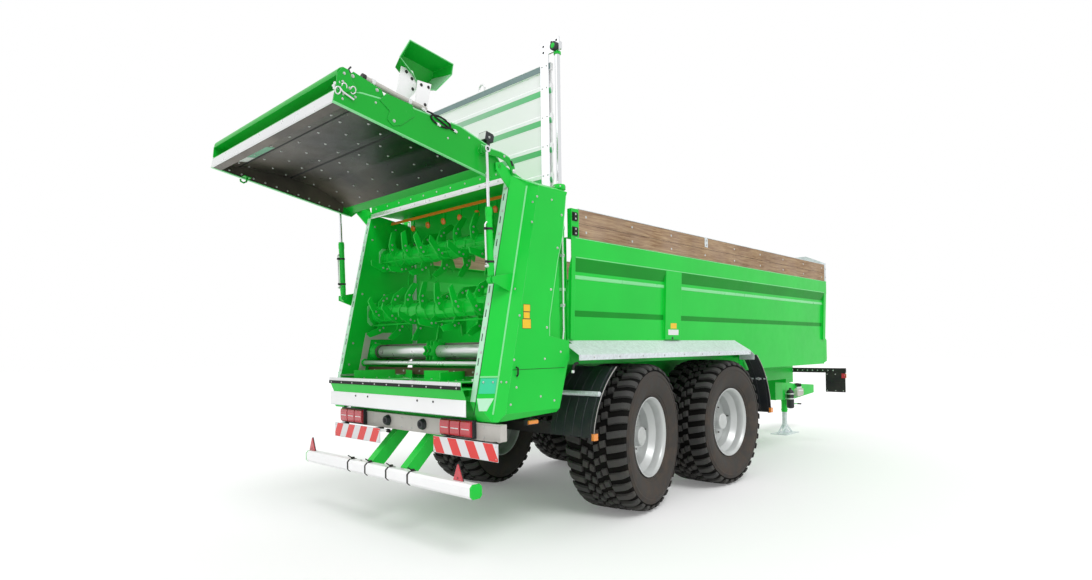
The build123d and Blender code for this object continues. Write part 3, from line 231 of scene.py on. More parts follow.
def weathering_group():
    """Colour drift, settled dust and splashes low down, paler edges (wear, and on the green paints a painted
    highlight), and the finish's fine relief.
    """
    group, given, result = new_group(
        "Weathering",
        [("Color", COLOUR, GREEN), ("Drift", FLOAT, 0.1), ("Dust Color", COLOUR, DUST), ("Dust", FLOAT, 0.2),
         ("Dust Height", FLOAT, 1.0), ("Edge", FLOAT, 0.0), ("Edge Color", COLOUR, GREEN),
         ("Edge Amount", FLOAT, 0.3), ("Roughness", FLOAT, 0.4), ("Relief Scale", FLOAT, 300.0)],
        [("Color", COLOUR), ("Roughness", FLOAT), ("Relief", FLOAT)])

    def times(first, second):
        return maths(group, "MULTIPLY", first, second)

    place = object_place(group)
    height = add_node(group, "ShaderNodeSeparateXYZ", Vector=place).outputs["Z"]
    broad = noise(group, place, Scale=1.7, Detail=3.0)
    patchy = noise(group, place, Scale=9.0, Detail=6.0, Roughness=0.65)
    shade = times(remap(group, broad, 0.3, 0.7, -1.0, 1.0), given["Drift"])
    tinted = add_node(group, "ShaderNodeHueSaturation", Color=given["Color"], Value=maths(group, "ADD", shade, 1.0))
    low_down = remap(group, maths(group, "SUBTRACT", given["Dust Height"], height), 0.0, 0.9)
    settled = times(remap(group, patchy, 0.42, 0.75), given["Dust"])
    dust = maths(group, "MULTIPLY", settled, maths(group, "ADD", low_down, 0.25), clamp=True)
    dusty = blend_colour(group, dust, tinted.outputs[0], given["Dust Color"])
    # paler edges: wear, and on the green paints a painted highlight
    worn = times(times(given["Edge"], remap(group, patchy, 0.35, 0.6)), given["Edge Amount"])
    rough = maths(group, "ADD", given["Roughness"], times(dust, 0.4))
    uneven = times(remap(group, patchy, 0.3, 0.7, -1.0, 1.0), 0.05)
    connect(group, result["Color"], blend_colour(group, worn, dusty, given["Edge Color"]))
    connect(group, result["Roughness"], maths(group, "ADD", rough, uneven, clamp=True))
    connect(group, result["Relief"], noise(group, place, Scale=given["Relief Scale"], Detail=2.0))
    return group


def spangle_group():
    """Crystal flakes of hot-dip zinc."""
    group, given, result = new_group(
        "Zinc Flakes", [("Color", COLOUR, srgb(196, 210, 210)), ("Scale", FLOAT, 60.0)], [("Color", COLOUR)])
    place = object_place(group)
    bent = add_node(group, "ShaderNodeTexNoise", Vector=place, Scale=25.0).outputs["Color"]
    shifted = add_node(group, "ShaderNodeMix", {"data_type": "VECTOR"}, in0=0.06, in4=place, in5=bent).outputs[1]
    flakes = add_node(group, "ShaderNodeTexVoronoi", Vector=shifted, Scale=given["Scale"]).outputs["Color"]
    tone = add_node(group, "ShaderNodeSeparateColor", Color=flakes).outputs[0]
    value = remap(group, tone, 0, 1, 0.88, 1.08)
    toned = add_node(group, "ShaderNodeHueSaturation", Color=given["Color"], Value=value)
    connect(group, result["Color"], toned.outputs[0])
    return group


def plank_group():
    """Grain of a weathered plank that runs along Y."""
    group, given, result = new_group(
        "Plank Grain", [("Light", COLOUR, srgb(196, 168, 132)), ("Dark", COLOUR, srgb(126, 94, 70))],
        [("Color", COLOUR), ("Grain", FLOAT)])
    place = object_place(group)
    stretched = add_node(group, "ShaderNodeMapping", Vector=place, Scale=(30.0, 1.6, 30.0)).outputs[0]
    grain = noise(group, stretched, Scale=2.2, Detail=9.0, Roughness=0.7, Distortion=0.4)
    blotch = noise(group, place, Scale=3.4, Detail=4.0)
    drawn_out = add_node(group, "ShaderNodeMapping", Vector=place, Scale=(3.0, 1.3, 4.0)).outputs[0]
    knots = add_node(group, "ShaderNodeTexVoronoi", Vector=drawn_out, Scale=1.6).outputs["Distance"]
    base = blend_colour(group, remap(group, grain, 0.34, 0.68), given["Dark"], given["Light"])
    faded = blend_colour(group, remap(group, blotch, 0.35, 0.75, 0.0, 0.5), base, srgb(168, 148, 134))
    knotted = blend_colour(group, remap(group, knots, 0.075, 0.02), faded, srgb(58, 38, 28))
    connect(group, result["Color"], knotted)
    connect(group, result["Grain"], grain)
    return group


GROUP_MAKERS = {"edges": soft_edges_group, "weather": weathering_group, "zinc": spangle_group, "plank": plank_group}
GROUPS = {}


def group_node(tree, name, **inputs):
    """Node of a shared group, which is built the first time that it's asked for."""
    if name not in GROUPS:
        GROUPS[name] = GROUP_MAKERS[name]()
    return add_node(tree, "ShaderNodeGroup", {"node_tree": GROUPS[name]}, **inputs)


# ---- colours that nodes make ----------------------------------------------------
# each takes a node tree and gives a colour, and the relief that goes with it or None
def zinc_flakes(tree):
    return group_node(tree, "zinc", Color=srgb(222, 230, 233), Scale=55.0).outputs["Color"], None


def plank_grain(tree):
    grain = group_node(tree, "plank")
    return grain.outputs["Color"], grain.outputs["Grain"]


def clouded_sheet_with_painted_shade(tree):
    """Dark sheet with pale clouds, and painted shade that darkens it towards the hatch's right front corner."""
    cloud = noise(tree, object_place(tree), Scale=1.3, Detail=5.0)
    tone = blend_colour(tree, remap(tree, cloud, 0.35, 0.7), srgb(34, 36, 34), srgb(116, 107, 96))
    # painted shade: towards the right front corner the sheet turns near black
    across = remap(tree, along(tree, "X"), -0.75, 0.1)
    forward = remap(tree, along(tree, "Y"), -4.95, -4.3)
    return blend_colour(tree, maths(tree, "MULTIPLY", across, forward), tone, srgb(12, 24, 17)), None


def painted_green_reflection(tree):
    """Pale sheet with a painted green reflection that grows towards the right."""
    return blend_colour(tree, remap(tree, along(tree, "X"), -0.6, 0.9), srgb(196, 214, 206), srgb(112, 214, 146)), None


def ribbed(colour):
    """Plain colour of a lens with upright ribs."""
    def make(tree):
        bands = {"wave_type": "BANDS", "bands_direction": "X"}
        return colour, add_node(tree, "ShaderNodeTexWave", bands, Vector=object_place(tree), Scale=38.0).outputs["Fac"]
    return make


def stripes(lean, shift=0.0):
    """Red and white stripes of a reflecting board that lean to one side."""
    def make(tree):
        slant = maths(tree, "MULTIPLY_ADD", along(tree, "Z"), lean, along(tree, "X"))
        turn = maths(tree, "FRACT", maths(tree, "MULTIPLY_ADD", slant, 1 / 0.2, shift))
        stripe = remap(tree, maths(tree, "ABSOLUTE", maths(tree, "SUBTRACT", turn, 0.5)), 0.262, 0.255)
        cells = add_node(tree, "ShaderNodeTexVoronoi", Vector=object_place(tree), Scale=190.0).outputs["Distance"]
        return blend_colour(tree, stripe, srgb(226, 226, 228), srgb(226, 16, 6)), cells
    return make


# ---- finishes ---------------------------------------------------------------
def make_finish(name, colour, roughness, metallic=0.0, coat=0.0, coat_roughness=0.1, specular=0.5, soft=0.003,
                drift=0.05, dust=0.2, dust_height=1.1, dust_colour=DUST, edge_wear_and_highlight_colour=None, edge_amount=0.3,
                relief=300.0, bump=0.0004):
    """Material with soft edges, whose colour runs through the weathering group to its shader."""
    material = bpy.data.materials.new(name)
    material.use_nodes = True
    tree = material.node_tree
    shader = tree.nodes["Principled BSDF"].inputs
    shader["Metallic"].default_value = metallic
    shader["Coat Weight"].default_value = coat
    shader["Coat Roughness"].default_value = coat_roughness
    shader["Specular IOR Level"].default_value = specular
    edges = group_node(tree, "edges", Radius=soft).outputs
    colour, grain = colour(tree) if callable(colour) else (colour, None)
    wear = group_node(tree, "weather", Color=colour, Drift=drift, Dust_Color=dust_colour, Dust=dust,
                      Dust_Height=dust_height, Edge=edges["Edge"], Edge_Color=edge_wear_and_highlight_colour or DUST,
                      Edge_Amount=edge_amount if edge_wear_and_highlight_colour else 0.0, Roughness=roughness,
                      Relief_Scale=relief).outputs
    height = wear["Relief"]
    if grain is not None:
        height = maths(tree, "ADD", maths(tree, "MULTIPLY", height, 0.3), grain)
    dent = add_node(tree, "ShaderNodeBump", Strength=1.0, Distance=bump, Height=height, Normal=edges["Normal"])
    connect(tree, shader["Base Color"], wear["Color"])
    connect(tree, shader["Roughness"], wear["Roughness"])
    connect(tree, shader["Normal"], dent.outputs[0])
    return material


# the gloss paint's pale green edges are a painted highlight
GLOSS_GREEN = dict(coat=0.1, coat_roughness=0.12, specular=0.25, edge_wear_and_highlight_colour=PAINTED_HIGHLIGHT_GREEN, relief=140.0, bump=0.0003)
LAMP_GLASS = dict(coat=0.8, coat_roughness=0.05, soft=0.002, dust=0.05, bump=0.0012)
REFLECTING_BOARD = dict(coat=0.5, drift=0.03, dust=0.06)
# key: material's name, colour or its maker, roughness, other settings
FINISHES = {
    "green": ("Green Paint", GREEN, 0.36, dict(GLOSS_GREEN, dust=0.07, edge_amount=0.8)),
    # flange: painted highlight, a pale copy of the green paint
    "flange": ("Pale Green Paint", PAINTED_HIGHLIGHT_GREEN, 0.3, dict(
        coat=0.2, specular=0.35, dust=0.04, edge_wear_and_highlight_colour=srgb(220, 245, 225), bump=0.0003)),
    "strip": ("Cabinet Edge Strip", srgb(186, 236, 202), 0.34, dict(
        coat=0.2, specular=0.35, dust=0.05, edge_wear_and_highlight_colour=srgb(232, 248, 236), bump=0.0003)),
    # fold: painted shade, a darker copy of the green paint for the box's folds
    "fold": ("Fold Green Paint", srgb(6, 146, 36), 0.45, dict(
        coat=0.05, specular=0.15, drift=0.08, dust=0.02, bump=0.0003)),
    # hatch: painted shade, a darker copy of the green paint
    "hatch_shaded_green": ("Hatch Green Paint", srgb(10, 172, 46), 0.36, dict(
        GLOSS_GREEN, drift=0.06, dust=0.05, edge_amount=0.9)),
    # painted highlight on the lit facets inside the hood's scoop
    "painted_highlight_pale_green": ("Worn Pale Green", srgb(176, 226, 190), 0.34, dict(metallic=0.3, drift=0.12, dust=0.05)),
    "teal": ("Teal Panel", srgb(36, 206, 150), 0.34, dict(coat=0.4, dust=0.03, bump=0.0002)),
    "orange": ("Orange Paint", srgb(236, 120, 20), 0.4, dict(coat=0.3, dust=0.1, bump=0.0003)),
    "zinc": ("Galvanised Steel", zinc_flakes, 0.42, dict(
        metallic=0.12, dust=0.12, edge_wear_and_highlight_colour=srgb(235, 238, 238), edge_amount=0.5)),
    "bolt": ("Bolt Zinc", srgb(200, 202, 200), 0.35, dict(metallic=0.75, soft=0.001, dust=0.1, bump=0.0002)),
    "bright": ("Bright Steel", srgb(226, 228, 228), 0.3, dict(
        metallic=0.6, soft=0.0015, drift=0.03, dust=0.06, bump=0.0002)),
    "slate": ("Slate Rail", srgb(118, 140, 140), 0.4, dict(metallic=0.4, drift=0.06, dust=0.05, bump=0.0003)),
    "white_steel": ("Bright Sheet", srgb(250, 250, 251), 0.38, dict(
        metallic=0.05, drift=0.02, dust=0.03, edge_wear_and_highlight_colour=srgb(250, 251, 251), bump=0.0002)),
    "door_green_reflection": ("Green Cast Sheet", painted_green_reflection, 0.36, dict(metallic=0.3, drift=0.04, dust=0.03, bump=0.0002)),
    "grey": ("Pale Grey Paint", srgb(196, 192, 186), 0.45, dict(coat=0.15, drift=0.04, dust=0.2, bump=0.0003)),
    "white_film": ("White Film", srgb(232, 234, 232), 0.4, dict(coat=0.3, dust=0.06, bump=0.0002)),
    "wood": ("Weathered Plank", plank_grain, 0.82, dict(
        specular=0.25, soft=0.006, drift=0.08, dust=0.15, dust_height=3.0, bump=0.003)),
    "brown": ("Wear Strip", srgb(104, 84, 62), 0.7, dict(
        specular=0.3, drift=0.15, dust=0.3, dust_height=2.2, bump=0.001)),
    "tread": ("Tread Rubber", srgb(66, 66, 65), 0.7, dict(
        specular=0.25, soft=0.005, drift=0.12, dust=0.2, dust_height=1.2, dust_colour=srgb(104, 96, 82),
        edge_wear_and_highlight_colour=srgb(98, 92, 84), edge_amount=0.5, relief=220.0, bump=0.0012)),
    # groove: painted shade at the foot of the tread's grooves
    "groove_shade": ("Groove Rubber", srgb(17, 17, 16), 0.85, dict(
        specular=0.1, soft=0.002, dust=0.15, dust_height=1.0, dust_colour=srgb(70, 64, 54))),
    "sidewall": ("Sidewall Rubber", srgb(56, 53, 50), 0.66, dict(
        specular=0.3, soft=0.004, drift=0.1, dust=0.32, dust_height=1.6, dust_colour=srgb(110, 92, 78),
        edge_wear_and_highlight_colour=srgb(96, 86, 78), edge_amount=0.4, relief=160.0, bump=0.0006)),
    "rim": ("Rim Silver", srgb(200, 203, 202), 0.38, dict(
        metallic=0.35, coat=0.2, drift=0.03, dust=0.12, edge_wear_and_highlight_colour=srgb(238, 238, 238), relief=200.0,
        bump=0.0003)),
    "plastic": ("Black Plastic", srgb(34, 39, 43), 0.46, dict(
        specular=0.45, soft=0.004, drift=0.08, dust=0.18, edge_wear_and_highlight_colour=srgb(92, 98, 102), edge_amount=0.5,
        relief=420.0, bump=0.0005)),
    "rubber": ("Black Rubber", srgb(22, 23, 24), 0.6, dict(specular=0.3, dust=0.15)),
    "black_steel": ("Black Steel", srgb(40, 41, 42), 0.5, dict(
        metallic=0.3, dust=0.3, edge_wear_and_highlight_colour=srgb(96, 94, 92), bump=0.0005)),
    "lining": ("Dark Lining", clouded_sheet_with_painted_shade, 0.32, dict(
        metallic=0.15, coat=0.02, coat_roughness=0.3, specular=0.16, drift=0.1, dust=0.05, dust_height=4.0,
        bump=0.0006)),
    "mint": ("Mint Patch", srgb(104, 176, 140), 0.42, dict(coat=0.2, drift=0.06, dust=0.06, relief=500.0, bump=0.0006)),
    "chrome": ("Chrome", srgb(222, 224, 226), 0.14, dict(metallic=1.0, drift=0.02, dust=0.03, bump=0.0001)),
    "chain": ("Chain Steel", srgb(120, 118, 112), 0.46, dict(metallic=0.7, dust=0.3, dust_height=2.0, bump=0.0008)),
    "red_lens": ("Red Lens", ribbed(srgb(206, 36, 54)), 0.2, LAMP_GLASS),
    "amber_lens": ("Amber Lens", ribbed(srgb(240, 140, 20)), 0.2, LAMP_GLASS),
    "stripes_right": ("Board Stripes Right", stripes(0.55, 0.42), 0.34, REFLECTING_BOARD),
    "stripes_left": ("Board Stripes Left", stripes(-0.55), 0.34, REFLECTING_BOARD),
    "yellow_film": ("Yellow Film", srgb(246, 198, 12), 0.4, dict(coat=0.3, dust=0.04, bump=0.0002)),
}
MADE = {}


def finish(key):
    """The named finish's material, made the first time that it's asked for."""
    if key not in MADE:
        name, colour, roughness, settings = FINISHES[key]
        MADE[key] = make_finish(name, colour, roughness, **settings)
    return MADE[key]


# ---- shapes -----------------------------------------------------------------
AXES = {"x": (1, 2, 0), "y": (0, 2, 1), "z": (0, 1, 2)}
SMALLEST_RADIUS = 1e-5


class Piece:
    """Collects the shapes of one piece, each with its finish, and makes the object."""

    def __init__(self, name, body, place=None):
        self.name = name
        self.body = body
        self.place = place or Matrix.Identity(4)
        self.mesh = bmesh.new()
        self.used = []

    def faces(self, rings, coat, closed=False):
        """Skin over rings of points, which has flat ends or comes round to its first ring."""
        if coat not in self.used:
            self.used.append(coat)
        made = [[self.mesh.verts.new(self.place @ Vector(point)) for point in ring] for ring in rings]
        count = len(made[0])
        new = []
        for here, there in zip(made, made[1:] + made[:1] if closed else made[1:]):
            for i in range(count):
                j = (i + 1) % count
                new.append(self.mesh.faces.new((here[i], here[j], there[j], there[i])))
        if not closed:
            new.append(self.mesh.faces.new(made[0][::-1]))
            new.append(self.mesh.faces.new(made[-1]))
        for face in new:
            face.material_index = self.used.index(coat)

    def prism(self, axis, outline, start, stop, coat):
        """Outline in the plane across an axis, carried along it."""
        first, second, along_axis = AXES[axis]
        rings = []
        for distance in sorted((start, stop)):
            ring = []
            for a, b in outline:
                point = [0.0, 0.0, 0.0]
                point[first], point[second], point[along_axis] = a, b, distance
                ring.append(point)
            rings.append(ring)
        self.faces(rings, coat)

    def block(self, x0, x1, y0, y1, z0, z1, coat):
        x0, x1 = sorted((x0, x1))
        self.prism("z", [(x0, y0), (x1, y0), (x1, y1), (x0, y1)], z0, z1, coat)

    def turned(self, centre, direction, profile, coat, sides=32, closed=False):
        """Profile of (distance, radius) points turned about an axis through a centre."""
        centre = Vector(centre)
        direction = Vector(direction).normalized()
        across = direction.orthogonal().normalized()
        over = direction.cross(across)
        rings = []
        for distance, radius in profile:
            reach = max(radius, SMALLEST_RADIUS)
            rings.append(round_points(centre + direction * distance, across * reach, over * reach, sides))
        self.faces(rings, coat, closed)

    def tube(self, points, radius, coat, sides=12):
        """Round bar or pipe along a line of points."""
        line = [Vector(point) for point in points]
        rings = []
        across = (line[1] - line[0]).orthogonal()
        for i, point in enumerate(line):
            ahead = (line[min(i + 1, len(line) - 1)] - line[max(i - 1, 0)]).normalized()
            across = (across - ahead * across.dot(ahead)).normalized()
            rings.append(round_points(point, across * radius, ahead.cross(across) * radius, sides))
        self.faces(rings, coat)

    def bolt(self, centre, direction, size=0.009, coat="bolt"):
        """Hexagon head on its washer, standing on a surface."""
        washer = size * 0.25
        self.turned(centre, direction, [(-0.001, size * 1.45), (washer, size * 1.45)], coat, sides=12)
        self.turned(centre, direction, [(washer, size), (size * 0.85, size), (size * 0.95, size * 0.8)], coat, sides=6)

    def bolts(self, places, direction, size=0.009, coat="bolt"):
        for place in places:
            self.bolt(place, direction, size, coat)

    def done(self, slot, bevel=0.0, smooth=38.0, replaces=()):
        """Makes the object, and makes it ride on its body."""
        bmesh.ops.recalc_face_normals(self.mesh, faces=self.mesh.faces)
        data = bpy.data.meshes.new(self.name)
        self.mesh.to_mesh(data)
        self.mesh.free()
        for coat in self.used:
            data.materials.append(finish(coat))
        data.shade_smooth()
        data.set_sharp_from_angle(angle=math.radians(smooth))
        piece = bpy.data.objects.new(self.name, data)
        bpy.context.scene.collection.objects.link(piece)
        if bevel:
            rounding = piece.modifiers.new("Rounded edges", "BEVEL")
            rounding.width = bevel
            rounding.segments = 2
            rounding.limit_method = "ANGLE"
            rounding.angle_limit = math.radians(40)
        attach(piece, self.body)
        if replaces:
            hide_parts(*replaces)


def mirrored(side):
    return Matrix.Diagonal((side, 1, 1, 1))


# ---- finishes of the frame's own solids ---------------------------------------
# finish: starts of the names of the solids that have it
NODE_FINISHES = {
    "green": ("box_side", "box_front_wall", "box_rear_frame", "chassis", "drawbar", "jack_barrel", "casing",
              "top_beam", "spreader_table", "beater", "disc", "chain_shaft", "lift_barrels", "hatch_barrel",
              "underrun_arms", "driveline"),
    # the hatch's solids get the darker green of painted shade
    "hatch_shaded_green": ("hatch_frame", "hatch_roll", "hatch_hood"),
    "zinc": ("box_floor", "head_panel", "jack_leg", "mudguard"),
    "white_steel": ("apron", "door_panel", "door_guides", "underrun_bar"),
    "black_steel": ("tow_eye", "bogie", "front_axle", "rear_axle", "knuckle", "front_boards"),
    "chrome": ("door_rods", "hatch_rod"),
    "wood": ("board",),
    "tread": ("tyre",),
    "rim": ("rim",),
    "plastic": ("fender",),
    "chain": ("floor_chain",),
    "lining": ("hatch_lining",),
    "grey": ("lamp_beam",),
    "red_lens": ("tail_lamps",),
    "stripes_right": ("rear_boards",),
}


def paint_nodes():
    """Gives each solid of the frame its finish."""
    for name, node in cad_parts.items():
        found = [key for key, starts in NODE_FINISHES.items() if name.startswith(starts)]
        if len(found) != 1:
            raise RuntimeError("no single finish for " + name)
        material = finish(found[0])
        if not node.data.materials:
            node.data.materials.append(material)
        for place in node.material_slots:
            place.material = material


# ---- wheels -------------------------------------------------------------------
# side, body and turn of each wheel
WHEELS = {
    "front_right": (1, "wheel_front_right", 0.0), "front_left": (-1, "wheel_front_left", 0.0),
    "rear_right": (1, "wheel_rear_right", REST_STEER), "rear_left": (-1, "wheel_rear_left", REST_STEER),
}


def wheel_piece(start, name):
    """Piece of a wheel in the wheel's own axes, its centre at the origin and its outer face towards +X."""
    side, body, steer = WHEELS[name]
    centre = sum(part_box("tyre_" + name), Vector()) / 2
    place = Matrix.Translation(centre) @ Matrix.Rotation(steer, 4, "Z") @ mirrored(side)
    return Piece(start + name, body, place)


# sidewall and carcass, outer half: (distance from the middle, radius)
TYRE_WALL = [
    (0.205, 0.3363), (0.2115, 0.3465), (0.217, 0.359), (0.2255, 0.364), (0.233, 0.362), (0.240, 0.366), (0.248, 0.382),
    (0.2525, 0.384), (0.2565, 0.398), (0.262, 0.402), (0.266, 0.414), (0.2755, 0.44), (0.2835, 0.472), (0.2885, 0.505),
    (0.2895, 0.53), (0.2875, 0.548), (0.2905, 0.552), (0.2905, 0.563), (0.2865, 0.568), (0.281, 0.592), (0.270, 0.612),
    (0.245, 0.6265), (0.20, 0.6335), (0.12, 0.6385), (0.0, 0.6405),
]
TYRE_INSIDE = [(-0.17, 0.345), (-0.235, 0.42), (-0.25, 0.52), (-0.20, 0.60), (0.20, 0.60), (0.25, 0.52),
               (0.235, 0.42), (0.17, 0.345)]
# shoulder lug, middle block and centre block: corners as (x, turn), share of the lug's depth, steps across
TREAD_BLOCKS = (
    (((0.128, -0.02), (0.286, 0.030), (0.286, 0.128), (0.120, 0.078)), 1.0, 6),
    (((0.064, 0.045), (0.118, 0.068), (0.108, 0.162), (0.056, 0.139)), 0.95, 2),
    (((0.006, -0.005), (0.054, 0.018), (0.046, 0.108), (0.0, 0.085)), 0.9, 2),
)
BLOCK_TAPER = 0.0055


def tread_top(x):
    """Radius of the tread's blocks at a distance from the middle."""
    return TYRE_R - 0.010 * (abs(x) / TYRE_HALF) ** 2 - 0.030 * max(0.0, (abs(x) - 0.215) / 0.0775) ** 2


def tread_block(piece, corners, height, steps):
    """One tapered block between four (x, turn) corners: near-inner, near-outer, far-outer, far-inner."""
    (xa, ta), (xb, tb), (xc, tc), (xd, td) = corners
    lean = BLOCK_TAPER / TYRE_R
    rings = []
    for i in range(steps + 1):
        share = i / steps
        x_near = xa + (xb - xa) * share
        x_far = xd + (xc - xd) * share
        t_near = ta + (tb - ta) * share
        t_far = td + (tc - td) * share
        draw = BLOCK_TAPER * (1 if i == 0 else -1 if i == steps else 0) * (1 if xb > xa else -1)
        top_near = tread_top(x_near)
        top_far = tread_top(x_far)
        rings.append([(x, r * math.sin(t), r * math.cos(t)) for x, t, r in (
            (x_near, t_near, top_near - height), (x_near + draw, t_near + lean, top_near),
            (x_far + draw, t_far - lean, top_far), (x_far, t_far, top_far - height))])
    piece.faces(rings, "tread")


def build_tyres(settings):
    """Wide tyres with staggered blocks and long curved shoulder lugs."""
    step = 2 * math.pi / settings.pitches
    mirror_wall = [(-x, r) for x, r in TYRE_WALL[-2::-1]]
    band = TYRE_WALL[-6:] + mirror_wall[:5]
    for name in WHEELS:
        piece = wheel_piece("tyre_tread_", name)
        piece.turned((0, 0, 0), OUT, TYRE_WALL + mirror_wall + TYRE_INSIDE, "sidewall", sides=120, closed=True)
        # near-black band on the crown between the blocks: painted shade at the foot of the grooves
        groove_shade = [(x, r + 0.0012) for x, r in band] + [(x, r - 0.002) for x, r in band[::-1]]
        piece.turned((0, 0, 0), OUT, groove_shade, "groove_shade", sides=120, closed=True)
        for i in range(settings.pitches):
            for hand, offset in ((1, 0.0), (-1, 0.5)):
                for corners, share, steps in TREAD_BLOCKS:
                    placed = [(hand * x, step * (i + offset) + turn) for x, turn in corners]
                    tread_block(piece, placed, settings.lug_depth * share, steps)
        piece.done(smooth=30, slot="tyre", replaces=("tyre_" + name,))


def build_rims():
    """Drop-centre rims with their discs and hubs, truly round."""
    outer = [
        (-0.2487, 0.360), (-0.2457, 0.358), (-0.236, 0.345), (-0.2197, 0.3365), (-0.158, 0.336), (-0.128, 0.298),
        (0.100, 0.298), (0.158, 0.336), (0.2197, 0.3365), (0.236, 0.345), (0.2457, 0.358), (0.2487, 0.360),
    ]
    inner = [(x, r - 0.009) for x, r in outer[::-1]]
    disc = [
        (0.006, 0.2905), (0.020, 0.2905), (0.026, 0.276), (0.030, 0.24), (0.0215, 0.205), (0.020, 0.14), (0.024, 0.132),
        (0.060, 0.095), (0.085, 0.088), (0.150, 0.082), (0.158, 0.076), (0.160, 0.06), (0.160, 0.003), (0.078, 0.003),
        (0.078, 0.0452), (-0.014, 0.0452), (-0.014, 0.115), (0.006, 0.135),
    ]
    for name in WHEELS:
        piece = wheel_piece("rim_shell_", name)
        piece.turned((0, 0, 0), OUT, outer + inner, "rim", sides=96, closed=True)
        piece.turned((0, 0, 0), OUT, disc, "rim", sides=72, closed=True)
        piece.done(smooth=32, slot="rim_silver", replaces=("rim_" + name,))


def build_rim_fittings(settings):
    """Wheel nuts on their washers and studs, the hub cap with its bolts, and the valve."""
    cap = [(0, 0.1), (0.025, 0.1), (0.04, 0.093), (0.1, 0.088), (0.128, 0.086), (0.134, 0.08), (0.134, 0.02)]
    for name in WHEELS:
        piece = wheel_piece("rim_fittings_", name)
        for place in round_points((0.0195, 0, 0), (0, 0, 0.1675), (0, 0.1675, 0), settings.wheel_nuts):
            nut = place + Vector((0.0065, 0, 0))
            stud = place + Vector((0.0265, 0, 0))
            piece.turned(place, OUT, [(0, 0.021), (0.006, 0.021), (0.008, 0.016)], "bolt", sides=16)
            piece.turned(nut, OUT, [(0, 0.0155), (0.017, 0.0155), (0.021, 0.012)], "bolt", sides=6)
            piece.turned(stud, OUT, [(0, 0.0085), (0.012, 0.0085), (0.014, 0.007)], "black_steel", sides=10)
        piece.turned((0.03, 0, 0), OUT, cap, "rim", sides=40)
        piece.bolts(round_points((0.163, 0, 0), (0, 0, 0.062), (0, 0.062, 0), 6, phase=0.3), OUT, 0.006)
        piece.tube([(0.0, 0.262, 0.03), (0.05, 0.268, 0.03), (0.085, 0.262, 0.03)], 0.0055, "rubber", sides=8)
        piece.done(slot="rim_silver")


# ---- stage ----------------------------------------------------------------------
# each lamp: name, its setting, the width of its light and its turn in degrees
LAMPS = (("Key Lamp", "key_strength", 24, (38, 0, 62)), ("Fill Lamp", "fill_strength", 60, (55, 0, -20)))
CAMERA_PLACE = (4.556, -6.831, 1.4813)
CAMERA_TURN = (43.41, 0.92, -0.76)      # yaw, pitch and roll in degrees


def build_floor(settings):
    """Pale floor that fades to white far from the machine."""
    mesh = bmesh.new()
    bmesh.ops.create_grid(mesh, x_segments=8, y_segments=8, size=60)
    data = bpy.data.meshes.new("floor")
    mesh.to_mesh(data)
    mesh.free()
    floor = bpy.data.objects.new("floor", data)
    floor.location = (0, 0, -0.0005)
    bpy.context.scene.collection.objects.link(floor)
    material = bpy.data.materials.new("Pale Floor")
    material.use_nodes = True
    tree = material.node_tree
    shader = tree.nodes["Principled BSDF"]
    shader.inputs["Base Color"].default_value = settings.floor_colour
    shader.inputs["Roughness"].default_value = 0.9
    shader.inputs["Specular IOR Level"].default_value = 0.1
    seen = seen_rays(tree)
    distance = add_node(tree, "ShaderNodeVectorMath", {"operation": "LENGTH"}, in0=object_place(tree))
    far = maths(tree, "MULTIPLY", remap(tree, distance.outputs["Value"], 5.5, 11.0), seen)
    white = add_node(tree, "ShaderNodeEmission", Color=WHITE, Strength=1.0)
    faded = add_node(tree, "ShaderNodeMixShader", in0=far, in1=shader.outputs[0], in2=white.outputs[0])
    strength = maths(tree, "MULTIPLY", seen, settings.floor_lift)
    lift = add_node(tree, "ShaderNodeEmission", Color=WHITE, Strength=strength)
    both = add_node(tree, "ShaderNodeAddShader", in0=faded.outputs[0], in1=lift.outputs[0])
    connect(tree, tree.nodes["Material Output"].inputs["Surface"], both.outputs[0])
    data.materials.append(material)


def build_stage(settings):
    """Pale floor, even sky, soft lamps and the camera."""
    build_floor(settings)
    scene = bpy.context.scene
    scene.world = bpy.data.worlds.new("Studio")
    scene.world.use_nodes = True
    sky = scene.world.node_tree
    backdrop = sky.nodes["Background"]
    backdrop.inputs["Color"].default_value = WHITE
    connect(sky, backdrop.inputs["Strength"], remap(sky, seen_rays(sky), 0.0, 1.0, settings.sky_strength, 1.0))

    for name, strength, angle, turn in LAMPS:
        lamp = bpy.data.lights.new(name, "SUN")
        lamp.energy = getattr(settings, strength)
        lamp.angle = math.radians(angle)
        holder = bpy.data.objects.new(name, lamp)
        holder.rotation_euler = [math.radians(a) for a in turn]
        scene.collection.objects.link(holder)

    camera = bpy.data.cameras.new("Camera")
    camera.sensor_width = 36.0
    camera.lens = 21.27
    camera.shift_y = 0.0436
    camera.clip_end = 200.0
    holder = bpy.data.objects.new("Camera", camera)
    yaw, pitch, roll = (math.radians(a) for a in CAMERA_TURN)
    ahead = Vector((-math.sin(yaw) * math.cos(pitch), math.cos(yaw) * math.cos(pitch), math.sin(pitch)))
    right = Vector((math.cos(yaw), math.sin(yaw), 0.0))
    up = right.cross(ahead)
    turned_right = right * math.cos(roll) + up * math.sin(roll)
    turned_up = up * math.cos(roll) - right * math.sin(roll)
    pose = Matrix((turned_right, turned_up, -ahead)).transposed().to_4x4()
    holder.matrix_world = Matrix.Translation(CAMERA_PLACE) @ pose
    scene.collection.objects.link(holder)
    scene.camera = holder
    scene.view_settings.view_transform = "Standard"


